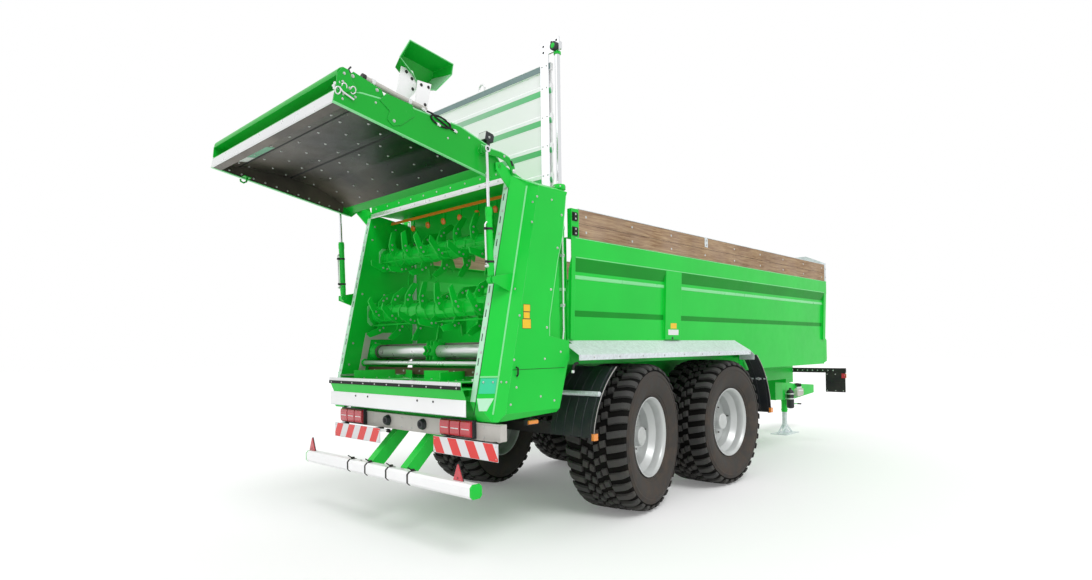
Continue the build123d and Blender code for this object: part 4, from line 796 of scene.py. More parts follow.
# ---- rear lamps, boards and underrun bar ------------------------------------------
def build_rear_lamps():
    """Ribbed lamp clusters in black housings, round caps, reflecting boards and the trim of their beam."""
    piece = Piece("lamp_clusters", "frame")
    rear = LENS_REAR
    lens = [(rear + 0.024, 0.832), (rear + 0.004, 0.84), (rear, 0.86), (rear, 0.925), (rear + 0.004, 0.945),
            (rear + 0.024, 0.953)]
    for x0, x1 in ((0.56, 0.93), (-0.93, -0.56)):
        piece.block(x0 - 0.004, x1 + 0.004, rear + 0.022, rear + 0.056, 0.826, 0.959, "plastic")
        width = (x1 - x0) / 3
        for a in row(x0 + 0.006, width, 3):
            b = a + width - 0.012
            piece.prism("x", lens, a, b, "red_lens")
            piece.block(a + 0.012, b - 0.012, rear - 0.0005, rear + 0.004, 0.889, 0.896, "white_film")
        piece.bolts(grid((x0 + 0.012, x1 - 0.012), rear + 0.022, 0.832), BACK, 0.004, "black_steel")
    cap = [(0, 0.044), (0.012, 0.045), (0.018, 0.041), (0.03, 0.038), (0.036, 0.034), (0.038, 0.02)]
    for x in (-0.22, 0.28):
        piece.turned((x, rear + 0.057, 0.885), BACK, cap, "plastic")
        piece.turned((x, rear + 0.02, 0.885), BACK, [(0, 0.019), (0.004, 0.018), (0.006, 0.014)], "rubber", sides=20)
    piece.done(bevel=0.002, slot="red_lamp", replaces=("tail_lamps",))

    boards = Piece("reflecting_boards", "frame")
    y = REAR_BOARD_REAR
    z0, z1 = 0.70, 0.826
    for x0, x1, coat in ((-0.95, -0.20, "stripes_left"), (0.54, 1.27, "stripes_right")):
        boards.block(x0 + 0.003, x1 - 0.003, y + 0.0005, y + 0.004, z0 + 0.003, z1 - 0.003, coat)
        boards.block(x0, x1, y + 0.004, y + 0.006, z0, z1, "zinc")
        boards.bolts(grid((x0 + 0.02, x1 - 0.02), y + 0.0012, (z0 + 0.02, z1 - 0.02)), BACK, 0.0035)
    for x in (-0.88, -0.3, 0.62, 1.15):
        boards.block(x - 0.015, x + 0.015, y + 0.006, LAMP_BEAM_REAR, 0.79, 0.822, "black_steel")
    handle = [(-0.245, y + 0.02, 0.805), (-0.15, y + 0.02, 0.812), (-0.10, y + 0.012, 0.812)]
    boards.tube(handle, 0.012, "white_film", sides=10)
    boards.turned((-0.11, y + 0.018, 0.812), (1, -0.1, 0), [(0, 0.016), (0.03, 0.016), (0.034, 0.012)], "rubber",
                  sides=16)
    boards.done(bevel=0.001, slot="board_red_white", replaces=("rear_boards",))

    trim = Piece("lamp_beam_trim", "frame")
    face = LAMP_BEAM_REAR
    trim.bolts(grid((-0.45, -0.02, 0.12, 0.50, 1.02), face, (0.842, 0.918)), BACK, 0.006)
    for z in (0.936, 0.816):
        trim.block(-0.93, 1.19, face - 0.004, face + 0.001, z, z + 0.008, "grey")
    trim.done(bevel=0.001, slot="white_steel")


def build_underrun_bar(settings):
    """Black straps, green end caps, warning triangles and bolts of the white eight-sided bar."""
    piece = Piece("underrun_bar_trim", "frame")
    y, z = BAR_CENTRE.yz
    section = [(-0.05, -0.03), (-0.03, -0.05), (0.03, -0.05), (0.05, -0.03), (0.05, 0.03), (0.03, 0.05), (-0.03, 0.05),
               (-0.05, 0.03)]

    def around(x0, x1, grow, coat):
        piece.prism("x", [(y + a * grow, z + b * grow) for a, b in section], x0, x1, coat)

    def triangle(x, grow, y0, y1, coat):
        piece.prism("y", [(x - 0.052 - grow, z + 0.052 - grow), (x + 0.052 + grow, z + 0.052 - grow),
                          (x + 0.004 + grow / 3, z + 0.165 + grow * 7 / 6),
                          (x - 0.004 - grow / 3, z + 0.165 + grow * 7 / 6)], y0, y1, coat)

    for x in (-0.43, -0.157, 0.150, 0.44):
        around(x - 0.009, x + 0.009, 1.05, "rubber")
        piece.block(x - 0.011, x + 0.011, y - 0.012, y + 0.012, z + 0.05, z + 0.068, "black_steel")
        piece.tube([(x, y - 0.01, z + 0.06), (x, y - 0.03, z + 0.075), (x, y - 0.045, z + 0.085)], 0.005, "rubber",
                   sides=8)
    around(1.168, 1.1802, 1.01, "green")
    around(-1.1802, -1.168, 1.01, "green")
    for x in (-1.15, 0.985):
        triangle(x, 0.0, y - 0.004, y + 0.003, "red_lens")
        triangle(x, 0.006, y + 0.003, y + 0.009, "black_steel")
        piece.bolt((x, y - 0.004, z + 0.07), BACK, 0.004, "black_steel")
    piece.bolts(grid((-0.3, -0.19, 0.19, 0.3), y, z + 0.05), UP, settings.bolt_size)
    piece.done(bevel=0.0015, slot="white_steel")


# ---- spreading hatch ----------------------------------------------------------------
# underside of the arched skin, as (distance along, height) in the hatch's own axes
SKIN_LINE = [(0.09, -0.06), (0.25, 0.008), (0.45, 0.052), (0.75, 0.045), (1.10, -0.01), (1.275, -0.068)]


def skin_height(s):
    """Height of the skin's underside at a distance along the hatch."""
    for (s0, t0), (s1, t1) in zip(SKIN_LINE, SKIN_LINE[1:]):
        if s <= s1:
            break
    return t0 + (t1 - t0) * (s - s0) / (s1 - s0)


def under_skin(start, stop, top, thick, steps=12):
    """Outline of a sheet that follows the skin, from a gap under it to a gap plus a thickness."""
    line = sorted(set(row(start, (stop - start) / steps, steps + 1) + [s for s, _ in SKIN_LINE if start < s < stop]))
    upper = [(-s, skin_height(s) - top) for s in line]
    lower = [(-s, skin_height(s) - top - thick) for s in line[::-1]]
    return upper + lower


def build_hatch_lining(settings):
    """Dark arched sheets under the hatch and on its cheeks, with their seams and rows of bolts."""
    piece = Piece("hatch_lining_sheets", "hatch", hatch_place())
    half, cheek_face = 0.9835, 0.9775
    seams = (0.70, 1.13)
    edges = (0.135,) + seams + (1.255,)
    for start, stop in zip(edges, edges[1:]):
        piece.prism("x", under_skin(start + 0.0035, stop - 0.0035, 0.001, 0.006), -half, half, "lining")
    for seam in seams:
        piece.prism("x", under_skin(seam - 0.009, seam + 0.009, 0.0065, 0.0016, 1), -half, half, "rubber")
    for number, s in enumerate((0.20, 0.33, 0.50, 0.64, 0.76, 0.92, 1.07, 1.19)):
        first, count = (-0.82, 6) if number % 2 else (-0.93, 7)
        piece.bolts(grid(row(first, 0.3, count), -s, skin_height(s) - 0.007), DOWN, settings.bolt_size * 0.75)
    cheek = [(-s, skin_height(s) - 0.007) for s in row(0.16, 1.09 / 16, 17)] + [(-1.25, -0.1), (-0.16, -0.1)]
    for side in HANDS:
        piece.prism("x", cheek, side * half, side * cheek_face, "lining")
        piece.bolts(grid(side * cheek_face, row(-0.2, -0.1, 11), -0.082), (-side, 0, 0), settings.bolt_size * 0.7)
    # blank tinted patches in the rear sheet
    for x0, x1, coat in ((-0.62, -0.26, "mint"), (-0.78, -0.625, "white_film")):
        piece.prism("x", under_skin(1.145, 1.245, 0.0068, 0.0012, 2), x0, x1, coat)
    piece.done(slot="lining", smooth=30, replaces=("hatch_lining",))


def build_hatch_edges(settings):
    """Zinc rear edge, side flanges, corner box, hooks, hydraulic line and work lamp of the hatch."""
    piece = Piece("hatch_edges", "hatch", hatch_place())
    size = settings.bolt_size
    rear, lip = -HATCH_LENGTH, HATCH_LIP
    # zinc strip round the rear lower edge
    for y0, y1, z0, z1, coat in ((rear - 0.0025, rear + 0.001, lip - 0.002, -0.038, "bright"),
                                 (rear + 0.012, -1.262, lip - 0.004, lip + 0.001, "lining"),
                                 (rear - 0.0025, rear + 0.010, lip - 0.0035, lip + 0.001, "bright")):
        piece.block(-0.984, 0.984, y0, y1, z0, z1, coat)
    edge_bolts = ((0.16, 0.07), (0.30, 0.10), (0.42, 0.10), (0.48, 0.02), (0.84, 0.05), (0.84, -0.02), (1.06, 0.01),
                  (1.20, -0.02), (1.28, -0.07), (1.28, -0.04))
    ridge = [(0.0, 0.05), (0.135, 0.115), (0.393, 0.144), (0.8, 0.095), (1.16, 0.022), (1.33, -0.03)]
    for side in HANDS:
        # side flanges in painted highlight
        piece.prism("x", [(-0.09, lip - 0.005), (rear, lip - 0.005), (rear, lip + 0.001), (-0.09, lip + 0.001)],
                    side * 0.972, side * 0.9965, "flange")
        piece.bolts([(side * HATCH_HALF, -s, t) for s, t in edge_bolts], (side, 0, 0), size * 0.6)
        # rounded stiffener along the upper edge, in painted highlight
        piece.tube([(side * 0.989, -s, t + 0.003) for s, t in ridge], 0.0065, "flange", sides=10)
    # bolted corner box with the pipe that lies on it
    corner = [(-1.30, -0.005), (-1.30, 0.055), (-1.235, 0.135), (-1.03, 0.115), (-0.99, 0.062)]
    piece.prism("x", corner, 0.905, 0.984, "hatch_shaded_green")
    for s, t in ((1.265, 0.045), (1.235, 0.105), (1.06, 0.098)):
        piece.bolt((0.984, -s, t), OUT, size * 0.9)
        piece.bolt((0.905, -s, t), (-1, 0, 0), size * 0.9)
    piece.tube([(0.945, -1.14, 0.152), (0.945, -0.90, 0.150), (0.945, -0.66, 0.160)], 0.019, "grey", sides=20)
    piece.tube([(0.945, -1.16, 0.152), (0.945, -1.135, 0.152)], 0.024, "black_steel", sides=20)
    for s in (1.08, 0.80):
        piece.turned((0.945, -s, 0.151), (0, 1, 0), [(-0.012, 0.024), (0.012, 0.024)], "bright", sides=20)
        piece.block(0.93, 0.96, -s - 0.012, -s + 0.012, 0.06, 0.14, "black_steel")
    piece.tube([(0.915, -1.20, 0.13), (0.91, -1.235, 0.175), (0.905, -1.22, 0.20)], 0.006, "black_steel", sides=8)
    # latch hooks and pins at the right rear corner
    line_x = 0.9975
    for s, t in ((1.32, -0.035), (1.285, 0.005), (1.225, 0.012)):
        hook = round_points((line_x, -s, t), (0, 0.017, 0), (0.004, 0, 0.022), 12, closed=True)
        piece.tube(hook, 0.0045, "bright", sides=8)
    piece.tube([(0.984, -1.315, -0.012), (1.0, -1.315, -0.012), (1.0, -1.29, -0.03), (1.0, -1.21, -0.045)], 0.006,
               "bright", sides=10)
    piece.tube([(0.95, -1.333, 0.0), (0.98, -1.333, 0.006), (0.999, -1.315, 0.02)], 0.008, "bright", sides=10)
    piece.turned((0.965, -1.325, 0.0), (0.3, -0.2, 1), [(-0.02, 0.013), (0.02, 0.013), (0.025, 0.009)], "bright",
                 sides=16)
    # clipped hydraulic line with its couplings, along the top of the right plate
    loop = round_points((line_x, -0.56, 0.105), (0, 0.085, 0), (0, 0, 0.03), 24, phase=0.6, closed=True)
    piece.tube(loop, 0.0065, "rubber", sides=10)
    line = [(-0.70, 0.125), (-0.64, 0.130), (-0.60, 0.115), (-0.50, 0.095), (-0.43, 0.092)]
    piece.tube(at_x(line_x, line), 0.0065, "rubber", sides=10)
    coupling = [(-0.016, 0.0085), (0.0, 0.0085), (0.0, 0.011), (0.012, 0.011), (0.012, 0.007), (0.022, 0.007)]
    for s, t in ((0.705, 0.125), (0.43, 0.092), (0.575, 0.076), (0.50, 0.132)):
        piece.turned((line_x, -s, t), (0, -1, 0.2), coupling, "bright", sides=6)
    # hook under the left plate, just inside the cabinet's mouth when the hatch is shut
    hook = [(-1.07, lip + 0.006), (-1.07, -0.145), (-1.09, -0.162), (-1.115, -0.158), (-1.12, -0.14)]
    piece.tube(at_x(-0.928, hook), 0.0075, "hatch_shaded_green", sides=10)
    piece.block(-0.985, -0.920, -1.10, -1.04, lip + 0.002, lip + 0.010, "hatch_shaded_green")
    # lug that the rear hood bracket stands on
    lug = [(-1.00, 0.10), (-0.80, 0.115), (-0.77, 0.05), (-0.86, -0.055), (-0.92, -0.085), (-0.965, -0.06),
           (-0.955, 0.0), (-1.04, 0.04)]
    piece.prism("x", lug, 0.9932, 0.9985, "hatch_shaded_green")
    piece.bolt((0.998, -0.915, -0.05), OUT, size * 0.8)
    piece.done(bevel=0.0012, slot="green_paint")

    lamp = Piece("hatch_work_lamp", "hatch", hatch_place())
    lamp.block(0.905, 0.99, -0.150, -0.082, 0.155, 0.222, "plastic")
    lamp.block(0.91, 0.985, -0.153, -0.149, 0.16, 0.217, "white_film")
    for x in row(0.905, 0.019, 5):
        lamp.block(x, x + 0.007, -0.082, -0.070, 0.160, 0.217, "plastic")
    lamp.prism("x", [(-0.13, 0.085), (-0.13, 0.16), (-0.10, 0.16), (-0.10, 0.085)], 0.985, 0.990, "black_steel")
    lamp.tube([(0.948, -0.115, 0.155), (0.948, -0.115, 0.11), (0.975, -0.115, 0.098)], 0.008, "black_steel", sides=10)
    lamp.bolt((0.99, -0.115, 0.185), OUT, size * 0.7)
    lamp.done(bevel=0.003, slot="black_plastic")


def build_hatch_arms(settings):
    """Slots, pins, bolts and painted highlights along the upper edges of the curved hinge arms."""
    piece = Piece("hinge_arm_fittings", "hatch")
    pin = [(0, 0.017), (0.004, 0.017), (0.004, 0.011), (0.010, 0.011), (0.013, 0.008)]
    edge = ((-3.755, 2.9655), (-3.668, 2.9535), (-3.56, 2.9495), (-3.477, 2.9265), (-3.431, 2.883))
    for side in HANDS:
        out = side * 1.027
        piece.tube([(out, -3.462, 2.905), (out + side * 0.001, -3.445, 2.868)], 0.009, "black_steel", sides=10)
        piece.turned((out, -3.432, 2.83), (side, 0, 0), pin, "bright", sides=20)
        bolts = at_x(out, ((-3.74, 2.93), (-3.69, 2.94), (-3.53, 2.925)))
        piece.bolts(bolts, (side, 0, 0), settings.bolt_size * 0.75)
        piece.tube(at_x(side * 1.023, edge), 0.0055, "flange", sides=8)
    piece.done(bevel=0.0008, slot="green_paint")


def build_hatch_roll(settings):
    """Rounded roll at the hatch's end, with its end plates and bolts."""
    piece = Piece("hatch_roll_sheet", "hatch", hatch_place())
    s, t, radius = HATCH_LENGTH - 0.039, 0.078, 0.047
    angles = [math.radians(angle) for angle in row(-112, 7, 33)]
    outline = [(-(s + radius * math.sin(angle)), t + radius * math.cos(angle)) for angle in angles]
    piece.prism("x", outline, -HATCH_HALF, HATCH_HALF, "hatch_shaded_green")
    plate = [(-1.185, 0.02), (-1.285, -0.03), (-1.335, -0.02), (-(s + 0.047), t - 0.016), (-(s + 0.02), t + 0.042),
             (-(s - 0.02), t + 0.042), (-(s - 0.05), t - 0.008)]
    for side in HANDS:
        piece.prism("x", plate, side * HATCH_HALF, side * 1.001, "hatch_shaded_green")
        bolts = at_x(side * 1.001, ((-1.30, 0.085), (-1.30, 0.03), (-1.25, 0.012)))
        piece.bolts(bolts, (side, 0, 0), settings.bolt_size * 0.7)
    piece.bolts(grid((-0.66, -0.22, 0.22, 0.66), -s, t + radius), UP, settings.bolt_size * 0.6)
    piece.done(smooth=30, slot="green_paint", replaces=("hatch_roll",))


HOOD_PLACE = Vector((0.930, -4.298, 3.577))
HOOD_CORNERS = [
    (0, 0, 0), (0, 0.369, -0.050), (-0.020, 0.371, -0.119), (-0.090, 0.281, -0.239), (-0.090, 0.139, -0.258),
    (-0.070, 0.072, -0.188), (-0.035, -0.059, -0.121),
]


def hood_ring(shift, shrink):
    """The scoop's corners, moved inwards by a distance and drawn towards their middle."""
    corners = [HOOD_PLACE + Vector(corner) for corner in HOOD_CORNERS]
    middle = sum(corners, Vector()) / len(corners)
    return [middle + (corner - middle) * shrink - Vector((shift, 0, 0)) for corner in corners]


def build_hood(settings):
    """Border hood: a faceted scoop in the hatch's painted shade green on two pale bracket plates, with its bolts and a
    folded edge in painted highlight.
    """
    piece = Piece("hood_scoop", "hatch")
    piece.faces([hood_ring(0.143, 0.69), hood_ring(0, 0.965), hood_ring(0, 1.0), hood_ring(0.15, 0.72)], "hatch_shaded_green")
    left = [(-4.309, 3.423), (-4.217, 3.416), (-4.186, 3.346), (-4.198, 3.273), (-4.261, 3.203), (-4.322, 3.126),
            (-4.343, 3.065), (-4.402, 3.055), (-4.392, 3.091), (-4.340, 3.267)]
    right = [(-4.219, 3.335), (-4.104, 3.338), (-4.126, 3.241), (-4.148, 3.140), (-4.190, 3.016), (-4.262, 3.030),
             (-4.236, 3.211)]
    left_bolts = ((-4.27, 3.395), (-4.225, 3.36), (-4.22, 3.29), (-4.36, 3.09), (-4.375, 3.07))
    right_bolts = ((-4.19, 3.31), (-4.13, 3.31), (-4.16, 3.18), (-4.21, 3.05))
    piece.prism("x", left, 0.836, 0.844, "white_steel")
    piece.prism("x", right, 0.896, 0.904, "white_steel")
    piece.block(0.826, 0.900, -4.170, -4.110, 3.316, 3.330, "white_steel")
    for inner, outer, places in ((0.836, 0.844, left_bolts), (0.896, 0.904, right_bolts)):
        for x, direction in ((inner, (-1, 0, 0)), (outer, OUT)):
            piece.bolts(at_x(x, places), direction, settings.bolt_size * 0.9, "black_steel")
    # folded edge of the scoop, a painted highlight
    rim = hood_ring(0, 1.0)
    piece.tube(rim + rim[:1], 0.0035, "flange", sides=8)
    # pale lower facets inside the scoop, a painted highlight
    mouth = hood_ring(0.003, 0.962)
    deep = hood_ring(0.138, 0.694)
    middle = sum(mouth + deep, Vector()) / (2 * len(mouth))
    for i in (2, 3):
        ring = [mouth[i], mouth[i + 1], deep[i + 1], deep[i]]
        towards = (middle - sum(ring, Vector()) / 4).normalized()
        piece.faces([[p + towards * 0.0005 for p in ring], [p + towards * 0.002 for p in ring]], "painted_highlight_pale_green")
    piece.done(smooth=20, slot="green_paint", replaces=("hatch_hood",))


# ---- fenders and mudguards --------------------------------------------------------------
REAR_AXLE_Y = -2.0
FRONT_AXLE_Y = -0.45
REAR_FENDER_R = 0.830
FRONT_FENDER_R = 0.900
FENDER_OUT = 1.274
# each fender's parts: axle's y, radius, first and last angle from straight up, inner x
FENDER_SPANS = ((REAR_AXLE_Y, REAR_FENDER_R, -84, -38, 0.80), (FRONT_AXLE_Y, FRONT_FENDER_R, 54.2, 88, 0.80),
                (FRONT_AXLE_Y, FRONT_FENDER_R, 38, 54.2, 1.091))
STAY_RISE = 0.435               # the stays' height over the axles


def around_axle(axle_y, radius, angle):
    """Y and Z of a place round a wheel's axle, at an angle from straight up."""
    return axle_y + radius * math.sin(angle), TYRE_R + radius * math.cos(angle)


def arc_band(axle_y, radius, first, last, thick, steps=26):
    """Outline in (y, z) of a band round a wheel's axle, between two angles from straight up."""
    line = [math.radians(first + (last - first) * i / steps) for i in range(steps + 1)]
    return ([around_axle(axle_y, radius, angle) for angle in line]
            + [around_axle(axle_y, radius - thick, angle) for angle in line[::-1]])


def build_fenders(settings):
    """Black ribbed quarter fenders on their stays, with a pale edge and amber side lamps."""
    for side, name in SIDES:
        piece = Piece("fender_shells_" + name, "frame", mirrored(side))
        for axle_y, radius, first, last, inner_x in FENDER_SPANS:
            piece.prism("x", arc_band(axle_y, radius, first, last, 0.006), inner_x, FENDER_OUT, "plastic")
            width = FENDER_OUT - inner_x
            count = 5 if width > 0.3 else 2
            for i in range(count):
                x = inner_x + width * (i + 0.5) / count
                for rib in (radius + 0.0035, radius - 0.0055):
                    band = arc_band(axle_y, rib, first + 0.8, last - 0.8, 0.004)
                    piece.prism("x", band, x - 0.012, x + 0.012, "plastic")
            piece.prism("x", arc_band(axle_y, radius + 0.003, first, last, 0.018), 1.268, 1.2738, "plastic")
            piece.prism("x", arc_band(axle_y, radius + 0.001, first, last, 0.006), 1.2725, 1.2745, "grey")
        for axle_y, radius, forward in ((REAR_AXLE_Y, REAR_FENDER_R, -1), (FRONT_AXLE_Y, FRONT_FENDER_R, 1)):
            reach = forward * math.sqrt((radius + 0.012) ** 2 - STAY_RISE ** 2)
            stay = (0.495, axle_y + reach, TYRE_R + STAY_RISE)
            piece.turned(stay, OUT, [(0, 0.021), (0.764, 0.021), (0.769, 0.017)], "zinc", sides=24)
            turn = math.atan2(reach, STAY_RISE)
            inward = (0, -math.sin(turn), -math.cos(turn))
            for x in (0.90, 1.18):
                place = (x, *around_axle(axle_y, radius - 0.0055, turn))
                piece.bolt(place, inward, settings.bolt_size * 1.1)
                piece.turned(place, inward, [(-0.0005, 0.021), (0.002, 0.021)], "bright", sides=20)
        for axle_y, radius, angle in ((REAR_AXLE_Y, REAR_FENDER_R, -83), (FRONT_AXLE_Y, FRONT_FENDER_R, 86)):
            y, z = around_axle(axle_y, radius - 0.013, math.radians(angle))
            piece.block(1.262, 1.292, y - 0.030, y + 0.022, z - 0.030, z + 0.024, "amber_lens")
            piece.block(1.255, 1.266, y - 0.034, y + 0.026, z - 0.034, z + 0.028, "plastic")
        piece.done(smooth=30, slot="black_plastic", replaces=("fender_" + name,))


def build_mudguard_trim(settings):
    """Bolts, brackets and the hose hook of the mudguards."""
    size = settings.bolt_size
    for side, name in SIDES:
        piece = Piece("mudguard_trim_" + name, "frame", mirrored(side))
        piece.bolts(grid(1.2742, row(-2.80, 0.34, 9), 1.402), OUT, size * 0.7)
        for y in (-2.55, -1.36, -0.25):
            piece.block(1.085, 1.20, y - 0.02, y + 0.02, 1.448, 1.456, "zinc")
            piece.bolt((1.15, y, 1.487), (0.48, 0, 0.88), size * 0.9)
        hook = [(-2.99, 1.36), (-3.02, 1.355), (-3.045, 1.335), (-3.05, 1.305)]
        piece.tube(at_x(1.262, hook), 0.011, "rubber")
        piece.turned((1.262, -3.05, 1.305), (0, -0.1, -1), [(0, 0.0125), (0.02, 0.0125), (0.022, 0.009)], "bright",
                     sides=14)
        piece.done(bevel=0.0008, slot="galvanised")


# ---- load box --------------------------------------------------------------------------
BOARD_FACE = 1.125
BOX_REAR = -2.842
BOX_FRONT = 2.568


def post_x(z):
    """Outer face of the box's posts at a height."""
    return 1.104 + 0.025 * (z - 1.55) / 0.664


def build_box_trim(settings):
    """Bolts of the boards, rubber stops, blank plates, and the painted highlight and painted shade lines along the
    edges and folds of the load box.
    """
    size = settings.bolt_size
    dome = [(-0.001, 0.011), (0.0015, 0.0105), (0.0032, 0.008), (0.0042, 0.004)]
    for side, name in SIDES:
        piece = Piece("box_trim_" + name, "frame", mirrored(side))
        # carriage bolts through the boards, their joint, and the plate across it
        for place in grid(BOARD_FACE, row(-2.70, 0.65, 9), (2.435, 2.565)):
            piece.turned(place, OUT, dome, "bolt", sides=16)
        for z in (2.4985, 2.5015):
            piece.block(1.1245, 1.1252, -2.793, 2.598, z - 0.0008, z + 0.0008, "rubber")
        plate = [(-0.76, 2.52), (-0.70, 2.52), (-0.70, 2.605), (-0.715, 2.618), (-0.76, 2.618)]
        piece.prism("x", plate, BOARD_FACE, 1.131, "zinc")
        piece.bolts(grid(1.131, -0.73, (2.545, 2.59)), OUT, size)
        # rubber stops on the end plate
        for z in (2.43, 2.55):
            piece.block(1.128, 1.141, -2.875, -2.822, z - 0.030, z + 0.030, "rubber")
            piece.block(1.128, 1.1295, -2.882, -2.815, z - 0.037, z + 0.037, "black_steel")
            for place in grid(1.141, -2.849, (z - 0.018, z + 0.018)):
                piece.turned(place, OUT, [(-0.001, 0.008), (0.001, 0.008)], "bolt", sides=12)
        # painted highlights on the edges of the top band
        for z in (2.2165, 2.3745):
            piece.block(1.1288, 1.1302, BOX_REAR, BOX_FRONT, z, z + 0.006, "flange")
        # painted shade on the slope under the band, painted highlight on the bead below it, and painted shade on the
        # fold at the crease
        for rear, front in ((-2.843, -1.502), (-1.223, BOX_FRONT)):
            for outline, coat in (
                    ([(1.1275, 2.2135), (1.1292, 2.2125), (1.0995, 2.1065), (1.0978, 2.1075)], "fold"),
                    ([(1.0950, 2.079), (1.1000, 2.074), (1.1000, 2.050), (1.0940, 2.044)], "flange"),
                    ([(1.0822, 1.788), (1.0838, 1.787), (1.0836, 1.738), (1.0820, 1.737)], "fold")):
                piece.prism("y", outline, rear, front, coat)
        # blank plates and a cap at the foot of the middle post, and blank plates on the side sheet
        for y0, y1, z0, z1, coat in ((-1.410, -1.305, 1.655, 1.708, "yellow_film"),
                                     (-1.452, -1.268, 1.592, 1.645, "white_film")):
            corners = [(y0, z0), (y1, z0), (y1, z1), (y0, z1)]
            piece.faces([[(post_x(z) + lift, y, z) for y, z in corners] for lift in (-0.0002, 0.0008)], coat)
        piece.turned((post_x(1.565), -1.375, 1.562), OUT, [(-0.001, 0.012), (0.004, 0.012), (0.006, 0.009)], "plastic",
                     sides=20)
        for y0, y1, z0, z1, coat in ((2.28, 2.40, 1.92, 1.98, "white_film"), (2.42, 2.47, 1.92, 1.98, "yellow_film"),
                                     (-1.06, -1.01, 1.86, 1.90, "white_film")):
            piece.block(1.0828, 1.0838, y0, y1, z0, z1, coat)
        # head frame's bolts and the capping of the top board
        piece.bolts(grid(1.1292, 2.628, (2.44, 2.56)), OUT, size)
        piece.block(1.082, 1.128, -2.798, 2.603, 2.618, 2.6235, "zinc")
        piece.done(bevel=0.0008, slot="galvanised")


# ---- spreading cabinet -------------------------------------------------------------------
def bevel_y(x, z):
    """Y of the casing's rear face at a distance out and a height."""
    if x <= FLANGE_X:
        return rear_edge_y(z)
    if x <= CASING_FOLD:
        return rear_edge_y(z) + 0.1 * (x - FLANGE_X) / 0.105
    return rear_edge_y(z) + 0.1 + 0.03 * (x - CASING_FOLD) / 0.091


def rear_plate(piece, corners, lift, coat):
    """Thin plate on the casing's rear faces, between corners given as (x, z)."""
    piece.faces([[(x, bevel_y(x, z) + out, z) for x, z in corners] for out in (0.0005, -lift)], coat)


def rear_film(piece, x0, x1, z0, z1, lift, coat):
    rear_plate(piece, [(x0, z0), (x1, z0), (x1, z1), (x0, z1)], lift, coat)


def collar(piece, centre, half, inner, outer, coat="green"):
    """Hollow ring round an upright pipe."""
    piece.turned(centre, UP, [(-half, inner), (-half, outer), (half, outer), (half, inner)], coat, closed=True)


